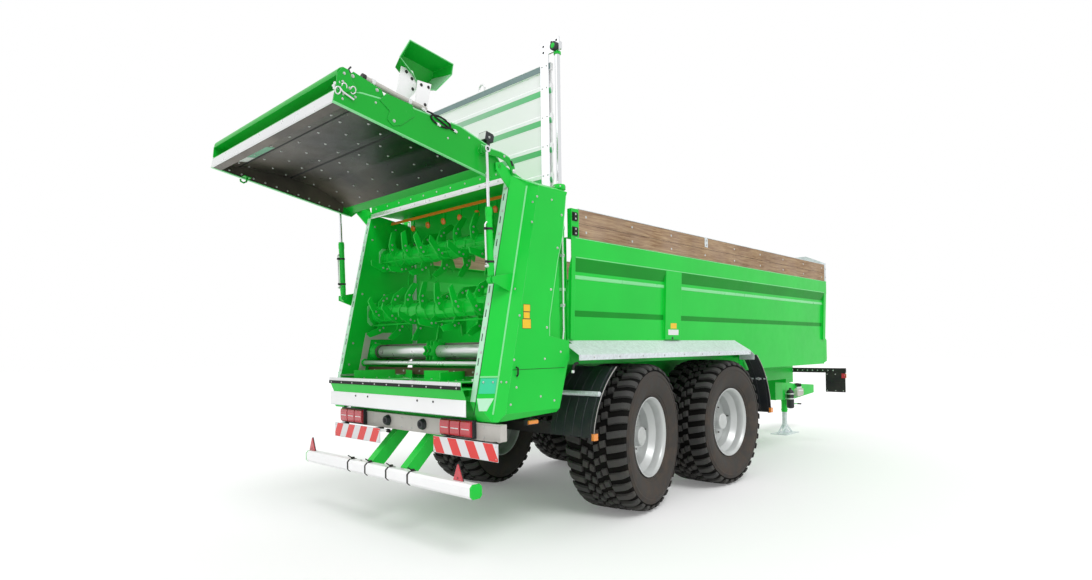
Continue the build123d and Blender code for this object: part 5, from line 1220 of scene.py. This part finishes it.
def build_casing_trim(settings):
    """Bolted flange strips, folded edges in painted highlight, blank plates, seams, side lamp and lift cylinder of the
    casings.
    """
    size = settings.bolt_size
    back = Vector((0, -1, 0.2176)).normalized()
    front = [(-3.030, 2.680), (-3.075, 2.356), (-3.137, 2.154), (-3.236, 1.702), (-3.239, 1.572)]
    cover_bolts = ((-3.62, 1.40), (-3.30, 1.40), (-3.12, 1.45), (-3.60, 1.20), (-3.35, 1.12), (-3.20, 1.08),
                   (-3.66, 1.08), (-3.42, 2.42), (-3.36, 2.62), (-3.20, 2.62), (-3.56, 1.72))
    for side, name in SIDES:
        piece = Piece("casing_trim_" + name, "frame", mirrored(side))
        rear_film(piece, 0.948, 1.003, 1.10, 2.76, 0.0028, "strip")
        for z in row(1.36, 0.178, 8):
            rear_film(piece, 0.966, 0.976, z, z + 0.055, 0.0034, "black_steel")
            piece.bolt((0.985, rear_edge_y(z + 0.095) - 0.0028, z + 0.095), back, size * 0.85)
        for z in (1.30, 2.70):
            piece.bolt((0.975, rear_edge_y(z) - 0.0028, z), back, size * 0.85)
        # painted highlight along the casing's second fold
        rear_film(piece, 1.101, 1.1095, 1.01, 2.715, 0.0014, "flange")
        rear_film(piece, 1.0045, 1.0075, 1.01, 2.755, 0.0010, "rubber")
        # painted highlights on the top edge and slanting front edge of the cover
        piece.tube([(1.0125, rear_edge_y(2.79) + 0.02, 2.7985), (1.1995, rear_edge_y(2.7) + 0.13, 2.7095)], 0.004,
                   "flange", sides=8)
        piece.tube([(1.1992, y - 0.004, z) for y, z in front], 0.0035, "flange", sides=8)
        for (y0, z0), (y1, z1) in zip(front, front[1:]):
            piece.bolt((CASING_FACE, (y0 + y1) / 2 - 0.035, (z0 + z1) / 2), OUT, size * 0.8)
        # blank plate in three parts on the outer face
        for y0, y1, z0, z1 in ((-3.518, -3.452, 1.752, 1.802), (-3.518, -3.456, 1.700, 1.746),
                               (-3.530, -3.446, 1.628, 1.694)):
            piece.block(CASING_FACE, 1.2008, y0 - 0.003, y1 + 0.003, z0 - 0.003, z1 + 0.003, "black_steel")
            piece.block(CASING_FACE, 1.2014, y0, y1, z0, z1, "yellow_film")
        # seam of the lower cover with its hook and bolts
        low = 1.325
        piece.block(1.1992, 1.2006, rear_edge_y(low) + 0.135, -3.075, low, low + 0.004, "rubber")
        hook = [(1.2, low + 0.02), (1.219, low + 0.015), (1.219, low - 0.03), (1.206, low - 0.045)]
        piece.tube([(x, -3.60, z) for x, z in hook], 0.0065, "rubber", sides=10)
        piece.bolts(at_x(CASING_FACE, cover_bolts), OUT, size * 0.7)
        rear_film(piece, 1.014, 1.100, 1.158, 1.268, 0.0016, "teal")
        # painted highlight on the ledge over the teal panel
        rear_film(piece, 1.010, 1.108, 1.272, 1.284, 0.006, "flange")
        rear_plate(piece, [(1.030, 1.035), (1.070, 1.035), (1.098, 1.125), (1.010, 1.125)], 0.0018, "strip")
        for x, z in ((1.03, 1.24), (1.08, 1.24), (1.13, 1.24), (1.17, 1.24), (1.13, 1.92), (1.17, 2.58)):
            piece.bolt((x, bevel_y(x, z) - 0.0005, z), back, size * 0.7)
        # side lamp under the casing
        piece.block(1.10, 1.135, -3.43, -3.32, 0.905, 0.9455, "plastic")
        lens = [(1.1345, 0.909), (1.147, 0.913), (1.150, 0.925), (1.147, 0.938), (1.1345, 0.942)]
        piece.prism("y", lens, -3.425, -3.325, "amber_lens")
        piece.block(1.10, 1.118, -3.39, -3.36, 0.94, 0.958, "black_steel")
        # pipe down the front of the casing, in its clips
        piece.tube([(1.118, -2.990, 2.74), (1.118, -2.992, 2.30), (1.118, -2.992, 1.62), (1.112, -3.0, 1.52)], 0.008,
                   "bright")
        for z in (2.62, 2.22, 1.82):
            piece.block(1.098, 1.128, -3.003, -2.980, z - 0.012, z + 0.012, "zinc")
            piece.bolt((1.128, -2.992, z), OUT, size * 0.7)
        # bolted head of the lift cylinder, and its clips in painted highlight
        head = [(0, 0.045), (0, 0.053), (0.030, 0.053), (0.034, 0.050), (0.034, 0.045)]
        piece.turned((LIFT_X, DOOR_Y, 2.762), UP, head, "green", closed=True)
        centre = Vector((LIFT_X, DOOR_Y, 2.78))
        for place in round_points(centre, (0.053, 0, 0), (0, 0.053, 0), 6, phase=0.4):
            piece.bolt(place, place - centre, size * 0.5)
        for z in (1.45, 1.95, 2.45):
            collar(piece, (LIFT_X, DOOR_Y, z), 0.012, 0.0385, 0.0415, "flange")
        piece.done(bevel=0.0008, slot="green_paint")


def build_cabinet_inside(settings):
    """Zinc top edge, orange scraper, roof, closing sheets, bearings, wall brackets and bars of the cabinet."""
    piece = Piece("cabinet_inside", "frame")
    size = settings.bolt_size
    half = CABINET_HALF
    # zinc nose of the top beam
    nose = [(rear_edge_y(2.80) + 0.001, 2.797), (rear_edge_y(2.80) - 0.007, 2.797), (rear_edge_y(2.76) - 0.007, 2.762),
            (rear_edge_y(2.754) + 0.001, 2.751)]
    piece.prism("x", nose, -half, half, "bright")
    piece.bolts(grid(row(-0.88, 0.22, 9), rear_edge_y(2.775) - 0.0065, 2.777), (0, -1, 0.2), size * 0.55)
    # orange scraper bar over the upper beater, with its buffers and hangers
    bar = [(-3.245, 2.716), (-3.238, 2.742), (-3.190, 2.742), (-3.190, 2.736), (-3.232, 2.736), (-3.239, 2.714)]
    piece.prism("x", bar, -0.93, 0.93, "orange")
    for x in row(-0.72, 0.24, 7):
        piece.turned((x, -3.125, 2.672), (0, -1, -0.25), [(0, 0.030), (0.010, 0.030), (0.014, 0.024)], "orange",
                     sides=20)
        piece.block(x - 0.006, x + 0.006, -3.122, -3.110, 2.67, 2.79, "green")
    # roof and front baffle, and the upright sheet that closes the top edge under the hatch
    roof = [(-3.43, 2.7945), (-3.0, 2.7945), (-3.0, 2.36), (-3.003, 2.36), (-3.003, 2.7905), (-3.43, 2.7905)]
    piece.prism("x", roof, -half, half, "green")
    piece.prism("x", [(-3.4535, 2.797), (-3.4535, 2.872), (-3.4485, 2.872), (-3.4485, 2.797)], -half, half, "green")
    piece.bolts(grid(row(-0.86, 0.19, 10), -3.4535, 2.835), BACK, size * 0.6)
    # sheets that close the throat over the chain's return run, and the gap behind the apron
    piece.block(-half, half, -3.002, -2.998, 1.215, 1.385, "green")
    piece.block(-0.93, 0.945, -3.702, -3.698, 0.942, 1.085, "green")
    # bearings of the beaters on both walls, their flanges in painted highlight
    flange = [(-0.11, -0.075), (-0.075, -0.11), (0.075, -0.11), (0.11, -0.075), (0.11, 0.075), (0.075, 0.11),
              (-0.075, 0.11), (-0.11, 0.075)]
    for (y, z), side in itertools.product([beater[1:3] for beater in BEATERS], HANDS):
        piece.prism("x", [(y + a, z + b) for a, b in flange], side * 0.9455, side * 0.9385, "flange")
        piece.bolts(round_points((side * 0.9385, y, z), (0, 0.096, 0), (0, 0, 0.096), 8, phase=math.pi / 8),
                    (-side, 0, 0), size * 0.8)
    # bolt rows and angle bracket on the inner walls
    bracket = [(rear_edge_y(1.28) + 0.17, 1.28), (rear_edge_y(1.28) + 0.235, 1.28), (rear_edge_y(1.60) + 0.235, 1.585),
               (rear_edge_y(1.60) + 0.47, 1.585), (rear_edge_y(1.66) + 0.47, 1.65), (rear_edge_y(1.66) + 0.17, 1.65)]
    for side in HANDS:
        for z, depth in itertools.product((1.35, 1.55, 2.02, 2.55, 2.68), (0.06, 0.30)):
            piece.bolt((side * 0.946, rear_edge_y(z) + depth, z), (-side, 0, 0), size * 0.8)
        piece.prism("x", bracket, side * 0.9458, side * 0.9398, "grey")
        piece.block(side * 0.9458, side * 0.9398, -3.80, -3.30, 1.245, 1.262, "bright")
    # lower cross bar in its bosses and the wear strip under the chain shaft
    bar_y, bar_z = -3.545, 1.365
    piece.tube([(-half, bar_y, bar_z), (half, bar_y, bar_z)], 0.019, "bright", sides=20)
    piece.block(-half, half, -3.500, -3.494, 1.265, 1.325, "brown")
    piece.bolts(grid(row(-0.84, 0.24, 8), -3.500, 1.295), BACK, size * 0.75)
    for side in HANDS:
        piece.turned((side * 0.9455, bar_y, bar_z), (-side, 0, 0), [(0, 0.038), (0.010, 0.038), (0.012, 0.034)],
                     "green", sides=20)
    piece.done(bevel=0.0008, slot="galvanised")


def build_chain_shaft_dress(settings):
    """Bright sleeves, triple chain wheel and bearings of the floor's shaft."""
    piece = Piece("chain_shaft_dress", "frame")
    y, z = SHAFT_Y, SHAFT_Z
    sleeve = [(0, 0.0505), (0.003, 0.0525), (0.772, 0.0525), (0.775, 0.0505)]
    for x in (-0.835, 0.060):
        piece.turned((x, y, z), OUT, sleeve, "bright", sides=48)
    teeth = []
    for i in range(40):
        reach = 0.104 if i % 4 in (1, 2) else 0.084
        teeth.append((y + reach * math.cos(math.pi * i / 20), z + reach * math.sin(math.pi * i / 20)))
    for x in (-0.0485, 0.0485, 0.0):
        piece.prism("x", teeth, x - 0.003, x + 0.003, "green")
    bearing = [(0, 0.085), (0.018, 0.085), (0.022, 0.08), (0.05, 0.066), (0.056, 0.06)]
    for side in HANDS:
        piece.turned((side * CABINET_HALF, y, z), (-side, 0, 0), bearing, "green", sides=36)
        piece.bolts(round_points((side * 0.926, y, z), (0, 0.072, 0), (0, 0, 0.072), 4, phase=math.pi / 4),
                    (-side, 0, 0), settings.bolt_size * 0.7)
    piece.done(bevel=0.0008, slot="chain_steel")


BLADE_REACH = 0.265
BLADE_BOLTS = ((0.43, 0.24), (0.58, 0.16))      # shares of the blade's reach


def build_beater_fittings(settings):
    """Collars on the beaters' tubes, bolts of their blades, and end rings."""
    for beater, y, z, phase in BEATERS:
        piece = Piece("beater_fittings_" + beater, beater + "_beater")
        for i in range(14):
            x = (i - 6.5) * 0.130
            ring = [(-0.012, 0.088), (-0.010, 0.0895), (0.010, 0.0895), (0.012, 0.088)]
            piece.turned((x, y, z), OUT, ring, "green", sides=36)
            for half, (a, b) in itertools.product((0, math.pi), BLADE_BOLTS):
                turn = math.radians(phase + 9 * i + 90 * (i % 2)) + half
                u, v = a * BLADE_REACH, b * BLADE_REACH
                bolt_y = y + u * math.cos(turn) - v * math.sin(turn)
                bolt_z = z + u * math.sin(turn) + v * math.cos(turn)
                for direction in (1, -1):
                    piece.bolt((x + direction * 0.006, bolt_y, bolt_z), (direction, 0, 0), settings.bolt_size * 0.8)
        for x in (-0.915, 0.915):
            piece.turned((x, y, z), OUT, [(-0.006, 0.112), (0.006, 0.112)], "green", sides=40)
        piece.done(slot="green_paint")


def build_disc_fittings(settings):
    """Hub caps, vane bolts and rims of the two spreading discs."""
    cap = [(0, 0.068), (0.006, 0.066), (0.02, 0.05), (0.028, 0.03), (0.032, 0.01)]
    for side, name, phase in ((1, "right", 20), (-1, "left", 65)):
        piece = Piece("disc_fittings_" + name, "spinner_" + name)
        x, y, top = side * DISC_X, DISC_Y, DISC_TOP
        piece.turned((x, y, top + 0.024), UP, cap, "zinc")
        piece.bolts(round_points((x, y, top + 0.026), (0.055, 0, 0), (0, 0.055, 0), 6), UP, settings.bolt_size * 0.7)
        # pale rim of each disc: a painted highlight
        rim = round_points((x, y, top + 0.001), (0.426, 0, 0), (0, 0.426, 0), 60, closed=True)
        piece.tube(rim, 0.0028, "flange", sides=6)
        for angle, reach, offset in itertools.product(row(phase, 90, 4), (0.13, 0.24, 0.35), (-0.020, 0.020)):
            turn = math.radians(angle)
            piece.bolt((x + reach * math.cos(turn) - offset * math.sin(turn),
                        y + reach * math.sin(turn) + offset * math.cos(turn), top), UP, settings.bolt_size * 0.75)
        piece.done(slot="green_paint")


def build_table_edges(settings):
    """Bright lip and rubber strip of the spreading table, and the apron's bolts and fold line."""
    piece = Piece("table_edges", "frame")
    size = settings.bolt_size
    rear, half = TABLE_REAR, CABINET_HALF
    piece.block(-half, half, rear - 0.0025, rear + 0.001, 1.214, 1.2415, "bright")
    piece.block(-half, half, rear - 0.0055, rear + 0.001, 1.187, 1.2135, "rubber")
    piece.bolts(grid(row(-0.90, 0.18, 11), rear - 0.0055, 1.200), BACK, size * 0.55)
    piece.bolts(grid((-0.555, -0.36, 0.36, 0.565), APRON_REAR, 1.085), BACK, size * 0.7, "black_steel")
    piece.block(-0.9995, 0.9475, APRON_REAR - 0.001, APRON_REAR + 0.0015, 0.990, 0.996, "zinc")
    piece.done(bevel=0.0008, slot="galvanised")


# ---- guillotine door --------------------------------------------------------------------
def build_door_trim(settings):
    """Lower slopes of the door's ribs with a painted green reflection, its top rail, lifting eye and bracket fittings.
    """
    piece = Piece("door_trim", "door")

    def strip(y, half_thick, z0, z1, coat):
        piece.block(-DOOR_HALF, DOOR_HALF, y - half_thick, y + half_thick, z0, z1, coat)

    for top, turn in itertools.product((3.660, 3.415, 3.170, 2.925), (1, -1)):
        slope = [(DOOR_Y + turn * 0.0150, top - 0.044), (DOOR_Y + turn * 0.0165, top - 0.044),
                 (DOOR_Y + turn * 0.0055, top - 0.089), (DOOR_Y + turn * 0.0035, top - 0.089)]
        piece.prism("x", slope, -DOOR_HALF, DOOR_HALF, "door_green_reflection")
        strip(DOOR_Y + turn * 0.0152, 0.0012, top - 0.0455, top - 0.0425, "bright")
    for y in (DOOR_Y + 0.015, DOOR_Y - 0.015):
        strip(y, 0.002, 3.768, 3.816, "slate")
        strip(y, 0.003, 3.8165, 3.8215, "bright")
        strip(y, 0.0025, 2.604, 2.618, "rubber")
    eye = round_points((0.13, DOOR_Y, 3.852), (0.038, 0, 0), (0, 0, 0.038), 24, closed=True)
    piece.tube(eye, 0.0085, "bright")
    piece.block(0.105, 0.155, -2.968, -2.952, 3.815, 3.828, "bright")
    for side in HANDS:
        piece.bolts(grid((side * 0.912, side * 0.962), -2.985, (2.66, 2.90, 3.14, 3.38, 3.62, 3.80)), BACK,
                    settings.bolt_size * 0.6)
        # bracket plate's holes, the round buffer and the cylinder's pin
        for x, z in ((0.93, 3.965), (1.075, 3.975), (0.93, 3.915), (1.02, 3.975)):
            piece.turned((side * x, -2.9855, z), BACK, [(-0.0008, 0.010), (0.0008, 0.010)], "black_steel", sides=16)
        x = side * LIFT_X
        piece.turned((x, -2.9855, 3.925), BACK, [(0, 0.036), (0.026, 0.036), (0.03, 0.032)], "plastic")
        piece.turned((x, -3.0125, 3.925), BACK, [(0, 0.021), (0.005, 0.021), (0.007, 0.016)], "green", sides=24)
        piece.turned((x, DOOR_Y, 3.868), UP, [(0, 0.030), (0.020, 0.030), (0.0225, 0.027)], "green", sides=24)
    piece.done(bevel=0.0008, slot="white_steel")


# ---- hatch cylinders ---------------------------------------------------------------------
def build_cylinder_fittings():
    """Glands, pipes and hose stubs of the hatch cylinders."""
    stub = [(0, 0.011), (0.022, 0.011), (0.022, 0.008), (0.030, 0.008)]
    for side, name in SIDES:
        foot = Vector((side * 1.052, -3.700, 1.980))
        eye_s, eye_t = HATCH_EYE
        ahead = (hatch_place() @ Vector((foot.x, -eye_s, eye_t)) - foot).normalized()
        across = Vector((0, ahead.z, -ahead.y))
        length = (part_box("hatch_barrel_" + name)[1].z - foot.z) / ahead.z
        piece = Piece("hatch_barrel_fittings_" + name, "hatch_cylinder_" + name)
        gland = [(0, 0.026), (0.004, 0.0275), (0.045, 0.0275), (0.05, 0.026)]
        piece.turned(foot + ahead * (length - 0.012), -ahead, gland, "green")
        piece.turned(foot + ahead * 0.07, ahead, [(0, 0.0262), (0.03, 0.0262)], "green")
        pipe = [foot + ahead * a - across * b for a, b in (
            (0.11, 0.022), (0.12, 0.040), (length - 0.13, 0.040), (length - 0.11, 0.022))]
        piece.tube(pipe, 0.0065, "bright")
        for share in (0.25, 0.7):
            spot = foot + ahead * (length * share)
            piece.turned(spot, ahead, [(-0.008, 0.0285), (0.008, 0.0285)], "black_steel", sides=28)
            piece.turned(spot - across * 0.040, ahead, [(-0.009, 0.0105), (0.009, 0.0105)], "black_steel", sides=14)
        piece.turned(foot + ahead * 0.10 - across * 0.020, -across, stub, "bright", sides=6)
        piece.done(slot="green_paint")


# ---- drawbar and front -------------------------------------------------------------------
def build_front_fittings(settings):
    """Bolts and lamps of the marker boards, the accumulator, the coupling box and the jack's crank."""
    piece = Piece("drawbar_fittings", "frame")
    size = settings.bolt_size
    board_low, board_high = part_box("front_boards")
    rear, front = board_low.y, board_high.y
    for side in HANDS:
        piece.bolts(grid((side * 1.01, side * 1.13, side * 1.24), rear, (0.80, 1.04)), BACK, size * 0.7)
        for x in row(0.50, 0.075, 9):
            piece.turned((side * x, rear, 1.096), BACK, [(-0.001, 0.010), (0.002, 0.010)], "bright", sides=12)
        piece.block(side * 1.02, side * 1.24, rear - 0.004, rear + 0.001, 0.915, 0.925, "black_steel")
        piece.block(side * 1.22, side * 1.268, rear - 0.012, rear + 0.001, 0.985, 1.052, "red_lens")
        piece.block(side * 1.22, side * 1.268, front - 0.001, front + 0.012, 0.985, 1.052, "amber_lens")
    # accumulator in its straps, hanging on the drawbar's right cheek beside the jack
    cheek = DRAWBAR_CHEEK
    flask = [(0, 0.02), (0.004, 0.042), (0.02, 0.058), (0.27, 0.058), (0.295, 0.045), (0.31, 0.018), (0.335, 0.018)]
    piece.turned((cheek + 0.070, 3.60, 0.44), UP, flask, "plastic")
    for z in (0.60, 0.68):
        piece.turned((cheek + 0.070, 3.60, z), UP, [(-0.009, 0.060), (0.009, 0.060)], "bright")
        piece.block(cheek - 0.004, cheek + 0.02, 3.575, 3.625, z - 0.012, z + 0.012, "zinc")
    # coupling box with its stubs
    box = [(3.93, 0.635), (3.95, 0.61), (4.17, 0.62), (4.19, 0.65), (4.18, 0.735), (3.96, 0.745), (3.93, 0.72)]
    piece.prism("x", box, cheek - 0.003, cheek + 0.055, "grey")
    piece.prism("x", [(3.97, 0.70), (4.15, 0.69), (4.15, 0.71), (3.97, 0.72)], cheek + 0.05, cheek + 0.062, "bright")
    for i, y in enumerate(row(3.98, 0.05, 4)):
        piece.tube([(cheek + 0.03, y, 0.74), (cheek + 0.03, y + 0.005, 0.80 + 0.012 * (i % 2)),
                    (cheek - 0.03, y - 0.02, 0.82), (cheek - 0.06, y - 0.03, 0.745)], 0.011, "rubber", sides=10)
        piece.turned((cheek + 0.03, y, 0.742), UP, [(0, 0.016), (0.022, 0.016), (0.026, 0.013)], "bright", sides=6)
    # crank of the jack's gear
    grip_y = JACK_Y + 0.235
    piece.turned((0.045, JACK_Y, 0.50), OUT, [(0, 0.034), (0.025, 0.034), (0.034, 0.026)], "green", sides=24)
    piece.tube([(0.07, JACK_Y, 0.50), (0.115, JACK_Y, 0.50), (0.125, JACK_Y + 0.01, 0.498),
                (0.125, JACK_Y + 0.24, 0.485)], 0.008, "green", sides=10)
    piece.tube([(0.125, grip_y, 0.485), (0.19, grip_y, 0.485)], 0.012, "plastic")
    for z in (0.40, 0.545):
        collar(piece, (0, JACK_Y, z), 0.008, 0.0475, 0.053)
    piece.done(bevel=0.0008, slot="board_red_white")


# ---- settings -------------------------------------------------------------------------
class SpreaderStageSettings(bpy.types.PropertyGroup):
    floor_colour: bpy.props.FloatVectorProperty(
        name="Floor Colour", description="Colour of the studio floor", subtype="COLOR", size=4, min=0.0, max=1.0,
        default=(0.86, 0.86, 0.86, 1.0))
    floor_lift: bpy.props.FloatProperty(
        name="Floor Lift", description="How much paler the floor looks than it is lit", default=0.16, min=0.0, max=1.0)
    sky_strength: bpy.props.FloatProperty(
        name="Sky Strength", description="Light that comes evenly from all round", default=0.72, min=0.0, max=3.0)
    key_strength: bpy.props.FloatProperty(
        name="Key Strength", description="Strength of the soft key lamp", default=1.15, min=0.0, max=10.0)
    fill_strength: bpy.props.FloatProperty(
        name="Fill Strength", description="Strength of the wide fill lamp", default=0.45, min=0.0, max=10.0)


class SpreaderWheelSettings(bpy.types.PropertyGroup):
    pitches: bpy.props.IntProperty(
        name="Tread Pitches", description="How many times the block pattern repeats round a tyre", default=34,
        min=20, max=60)
    lug_depth: bpy.props.FloatProperty(
        name="Lug Depth", description="Height of the tread blocks", default=0.024, min=0.005, max=0.05, unit="LENGTH")
    wheel_nuts: bpy.props.IntProperty(
        name="Wheel Nuts", description="Nuts that hold each wheel", default=10, min=4, max=16)


class SpreaderBodySettings(bpy.types.PropertyGroup):
    bolt_size: bpy.props.FloatProperty(
        name="Bolt Size", description="Half the width of a common bolt's head", default=0.009, min=0.002, max=0.03,
        unit="LENGTH")


SETTINGS = (
    ("spreader_stage", SpreaderStageSettings), ("spreader_wheels", SpreaderWheelSettings),
    ("spreader_body", SpreaderBodySettings),
)


# ---- operators ------------------------------------------------------------------------
class SPREADER_OT_finishes(bpy.types.Operator):
    """Paint, zinc, rubber and timber on the solids of the frame"""
    bl_idname = "spreader.finishes"
    bl_label = "Frame Finishes"

    def execute(self, context):
        paint_nodes()
        return {"FINISHED"}


class SPREADER_OT_tyres(bpy.types.Operator):
    """Block-tread tyres on the four wheels"""
    bl_idname = "spreader.tyres"
    bl_label = "Tyres"

    def execute(self, context):
        build_tyres(context.scene.spreader_wheels)
        return {"FINISHED"}


class SPREADER_OT_rim_fittings(bpy.types.Operator):
    """Nuts, hub caps and valves of the wheels"""
    bl_idname = "spreader.rim_fittings"
    bl_label = "Rim Fittings"

    def execute(self, context):
        build_rim_fittings(context.scene.spreader_wheels)
        return {"FINISHED"}


class SPREADER_OT_rear_lamps(bpy.types.Operator):
    """Lamp clusters, round caps and reflecting boards"""
    bl_idname = "spreader.rear_lamps"
    bl_label = "Rear Lamps"

    def execute(self, context):
        build_rear_lamps()
        return {"FINISHED"}


class SPREADER_OT_underrun_bar(bpy.types.Operator):
    """Straps, end caps and triangles of the underrun bar"""
    bl_idname = "spreader.underrun_bar"
    bl_label = "Underrun Bar"

    def execute(self, context):
        build_underrun_bar(context.scene.spreader_body)
        return {"FINISHED"}


class SPREADER_OT_hatch_lining(bpy.types.Operator):
    """Arched dark lining of the hatch"""
    bl_idname = "spreader.hatch_lining"
    bl_label = "Hatch Lining"

    def execute(self, context):
        build_hatch_lining(context.scene.spreader_body)
        return {"FINISHED"}


class SPREADER_OT_rim_shells(bpy.types.Operator):
    """Round drop-centre rims with their discs"""
    bl_idname = "spreader.rim_shells"
    bl_label = "Rim Shells"

    def execute(self, context):
        build_rims()
        return {"FINISHED"}


class SPREADER_OT_hatch_edges(bpy.types.Operator):
    """Rear edge, corner box, hooks, line and lamp of the hatch"""
    bl_idname = "spreader.hatch_edges"
    bl_label = "Hatch Edges"

    def execute(self, context):
        build_hatch_edges(context.scene.spreader_body)
        return {"FINISHED"}


class SPREADER_OT_hinge_arms(bpy.types.Operator):
    """Pins, slots and bolts of the curved hinge arms"""
    bl_idname = "spreader.hinge_arms"
    bl_label = "Hinge Arms"

    def execute(self, context):
        build_hatch_arms(context.scene.spreader_body)
        return {"FINISHED"}


class SPREADER_OT_hatch_roll(bpy.types.Operator):
    """Rounded roll at the end of the hatch"""
    bl_idname = "spreader.hatch_roll"
    bl_label = "Hatch Roll"

    def execute(self, context):
        build_hatch_roll(context.scene.spreader_body)
        return {"FINISHED"}


class SPREADER_OT_border_hood(bpy.types.Operator):
    """Faceted scoop of the border hood on its brackets"""
    bl_idname = "spreader.border_hood"
    bl_label = "Border Hood"

    def execute(self, context):
        build_hood(context.scene.spreader_body)
        return {"FINISHED"}


class SPREADER_OT_fenders(bpy.types.Operator):
    """Ribbed quarter fenders and their stays"""
    bl_idname = "spreader.fenders"
    bl_label = "Fenders"

    def execute(self, context):
        build_fenders(context.scene.spreader_body)
        return {"FINISHED"}


class SPREADER_OT_mudguard_trim(bpy.types.Operator):
    """Bolts and hose hooks of the mudguards"""
    bl_idname = "spreader.mudguard_trim"
    bl_label = "Mudguard Trim"

    def execute(self, context):
        build_mudguard_trim(context.scene.spreader_body)
        return {"FINISHED"}


class SPREADER_OT_box_trim(bpy.types.Operator):
    """Bolts, stops and edge lines of the load box"""
    bl_idname = "spreader.box_trim"
    bl_label = "Box Trim"

    def execute(self, context):
        build_box_trim(context.scene.spreader_body)
        return {"FINISHED"}


class SPREADER_OT_casing_trim(bpy.types.Operator):
    """Flange strips, seams and lamps of the casings"""
    bl_idname = "spreader.casing_trim"
    bl_label = "Casing Trim"

    def execute(self, context):
        build_casing_trim(context.scene.spreader_body)
        return {"FINISHED"}


class SPREADER_OT_cabinet_inside(bpy.types.Operator):
    """Scraper, bearings and bars inside the cabinet"""
    bl_idname = "spreader.cabinet_inside"
    bl_label = "Cabinet Inside"

    def execute(self, context):
        build_cabinet_inside(context.scene.spreader_body)
        return {"FINISHED"}


class SPREADER_OT_chain_shaft_dress(bpy.types.Operator):
    """Sleeve and chain wheels of the floor shaft"""
    bl_idname = "spreader.chain_shaft_dress"
    bl_label = "Chain Shaft Dress"

    def execute(self, context):
        build_chain_shaft_dress(context.scene.spreader_body)
        return {"FINISHED"}


class SPREADER_OT_beater_fittings(bpy.types.Operator):
    """Collars and bolts of the beaters"""
    bl_idname = "spreader.beater_fittings"
    bl_label = "Beater Fittings"

    def execute(self, context):
        build_beater_fittings(context.scene.spreader_body)
        return {"FINISHED"}


class SPREADER_OT_disc_fittings(bpy.types.Operator):
    """Caps and bolts of the spreading discs"""
    bl_idname = "spreader.disc_fittings"
    bl_label = "Disc Fittings"

    def execute(self, context):
        build_disc_fittings(context.scene.spreader_body)
        return {"FINISHED"}


class SPREADER_OT_table_edges(bpy.types.Operator):
    """Lip, rubber strip and bolts of the spreading table"""
    bl_idname = "spreader.table_edges"
    bl_label = "Table Edges"

    def execute(self, context):
        build_table_edges(context.scene.spreader_body)
        return {"FINISHED"}


class SPREADER_OT_door_trim(bpy.types.Operator):
    """Rib slopes, rail and fittings of the guillotine door"""
    bl_idname = "spreader.door_trim"
    bl_label = "Door Trim"

    def execute(self, context):
        build_door_trim(context.scene.spreader_body)
        return {"FINISHED"}


class SPREADER_OT_cylinder_fittings(bpy.types.Operator):
    """Glands and pipes of the hatch cylinders"""
    bl_idname = "spreader.cylinder_fittings"
    bl_label = "Cylinder Fittings"

    def execute(self, context):
        build_cylinder_fittings()
        return {"FINISHED"}


class SPREADER_OT_front_fittings(bpy.types.Operator):
    """Board lamps, accumulator, coupling box and jack crank"""
    bl_idname = "spreader.front_fittings"
    bl_label = "Front Fittings"

    def execute(self, context):
        build_front_fittings(context.scene.spreader_body)
        return {"FINISHED"}


class SPREADER_OT_stage(bpy.types.Operator):
    """Floor, lamps and camera"""
    bl_idname = "spreader.stage"
    bl_label = "Stage"

    def execute(self, context):
        build_stage(context.scene.spreader_stage)
        return {"FINISHED"}


OPERATORS = (
    SPREADER_OT_finishes, SPREADER_OT_tyres, SPREADER_OT_rim_shells, SPREADER_OT_rim_fittings,
    SPREADER_OT_fenders, SPREADER_OT_mudguard_trim, SPREADER_OT_box_trim, SPREADER_OT_casing_trim,
    SPREADER_OT_cabinet_inside, SPREADER_OT_chain_shaft_dress, SPREADER_OT_beater_fittings,
    SPREADER_OT_disc_fittings, SPREADER_OT_table_edges, SPREADER_OT_door_trim, SPREADER_OT_hatch_lining,
    SPREADER_OT_hatch_edges, SPREADER_OT_hinge_arms, SPREADER_OT_hatch_roll, SPREADER_OT_border_hood,
    SPREADER_OT_cylinder_fittings, SPREADER_OT_rear_lamps, SPREADER_OT_underrun_bar,
    SPREADER_OT_front_fittings, SPREADER_OT_stage,
)


class SPREADER_PT_panel(bpy.types.Panel):
    """Lists the pieces of the spreader"""
    bl_idname = "SPREADER_PT_panel"
    bl_label = "Spreader"
    bl_space_type = "VIEW_3D"
    bl_region_type = "UI"
    bl_category = "Spreader"

    def draw(self, context):
        for name, group in SETTINGS:
            box = self.layout.box()
            for key in group.__annotations__:
                box.prop(getattr(context.scene, name), key)
        for operator in OPERATORS:
            self.layout.operator(operator.bl_idname)


def register():
    for name, group in SETTINGS:
        bpy.utils.register_class(group)
        setattr(bpy.types.Scene, name, bpy.props.PointerProperty(type=group))
    for operator in OPERATORS:
        bpy.utils.register_class(operator)
    bpy.utils.register_class(SPREADER_PT_panel)


def unregister():
    bpy.utils.unregister_class(SPREADER_PT_panel)
    for operator in reversed(OPERATORS):
        bpy.utils.unregister_class(operator)
    for name, group in reversed(SETTINGS):
        delattr(bpy.types.Scene, name)
        bpy.utils.unregister_class(group)


def main():
    register()
    for operator in OPERATORS:
        family, action = operator.bl_idname.split(".")
        getattr(getattr(bpy.ops, family), action)()


if __name__ == "__main__":
    main()
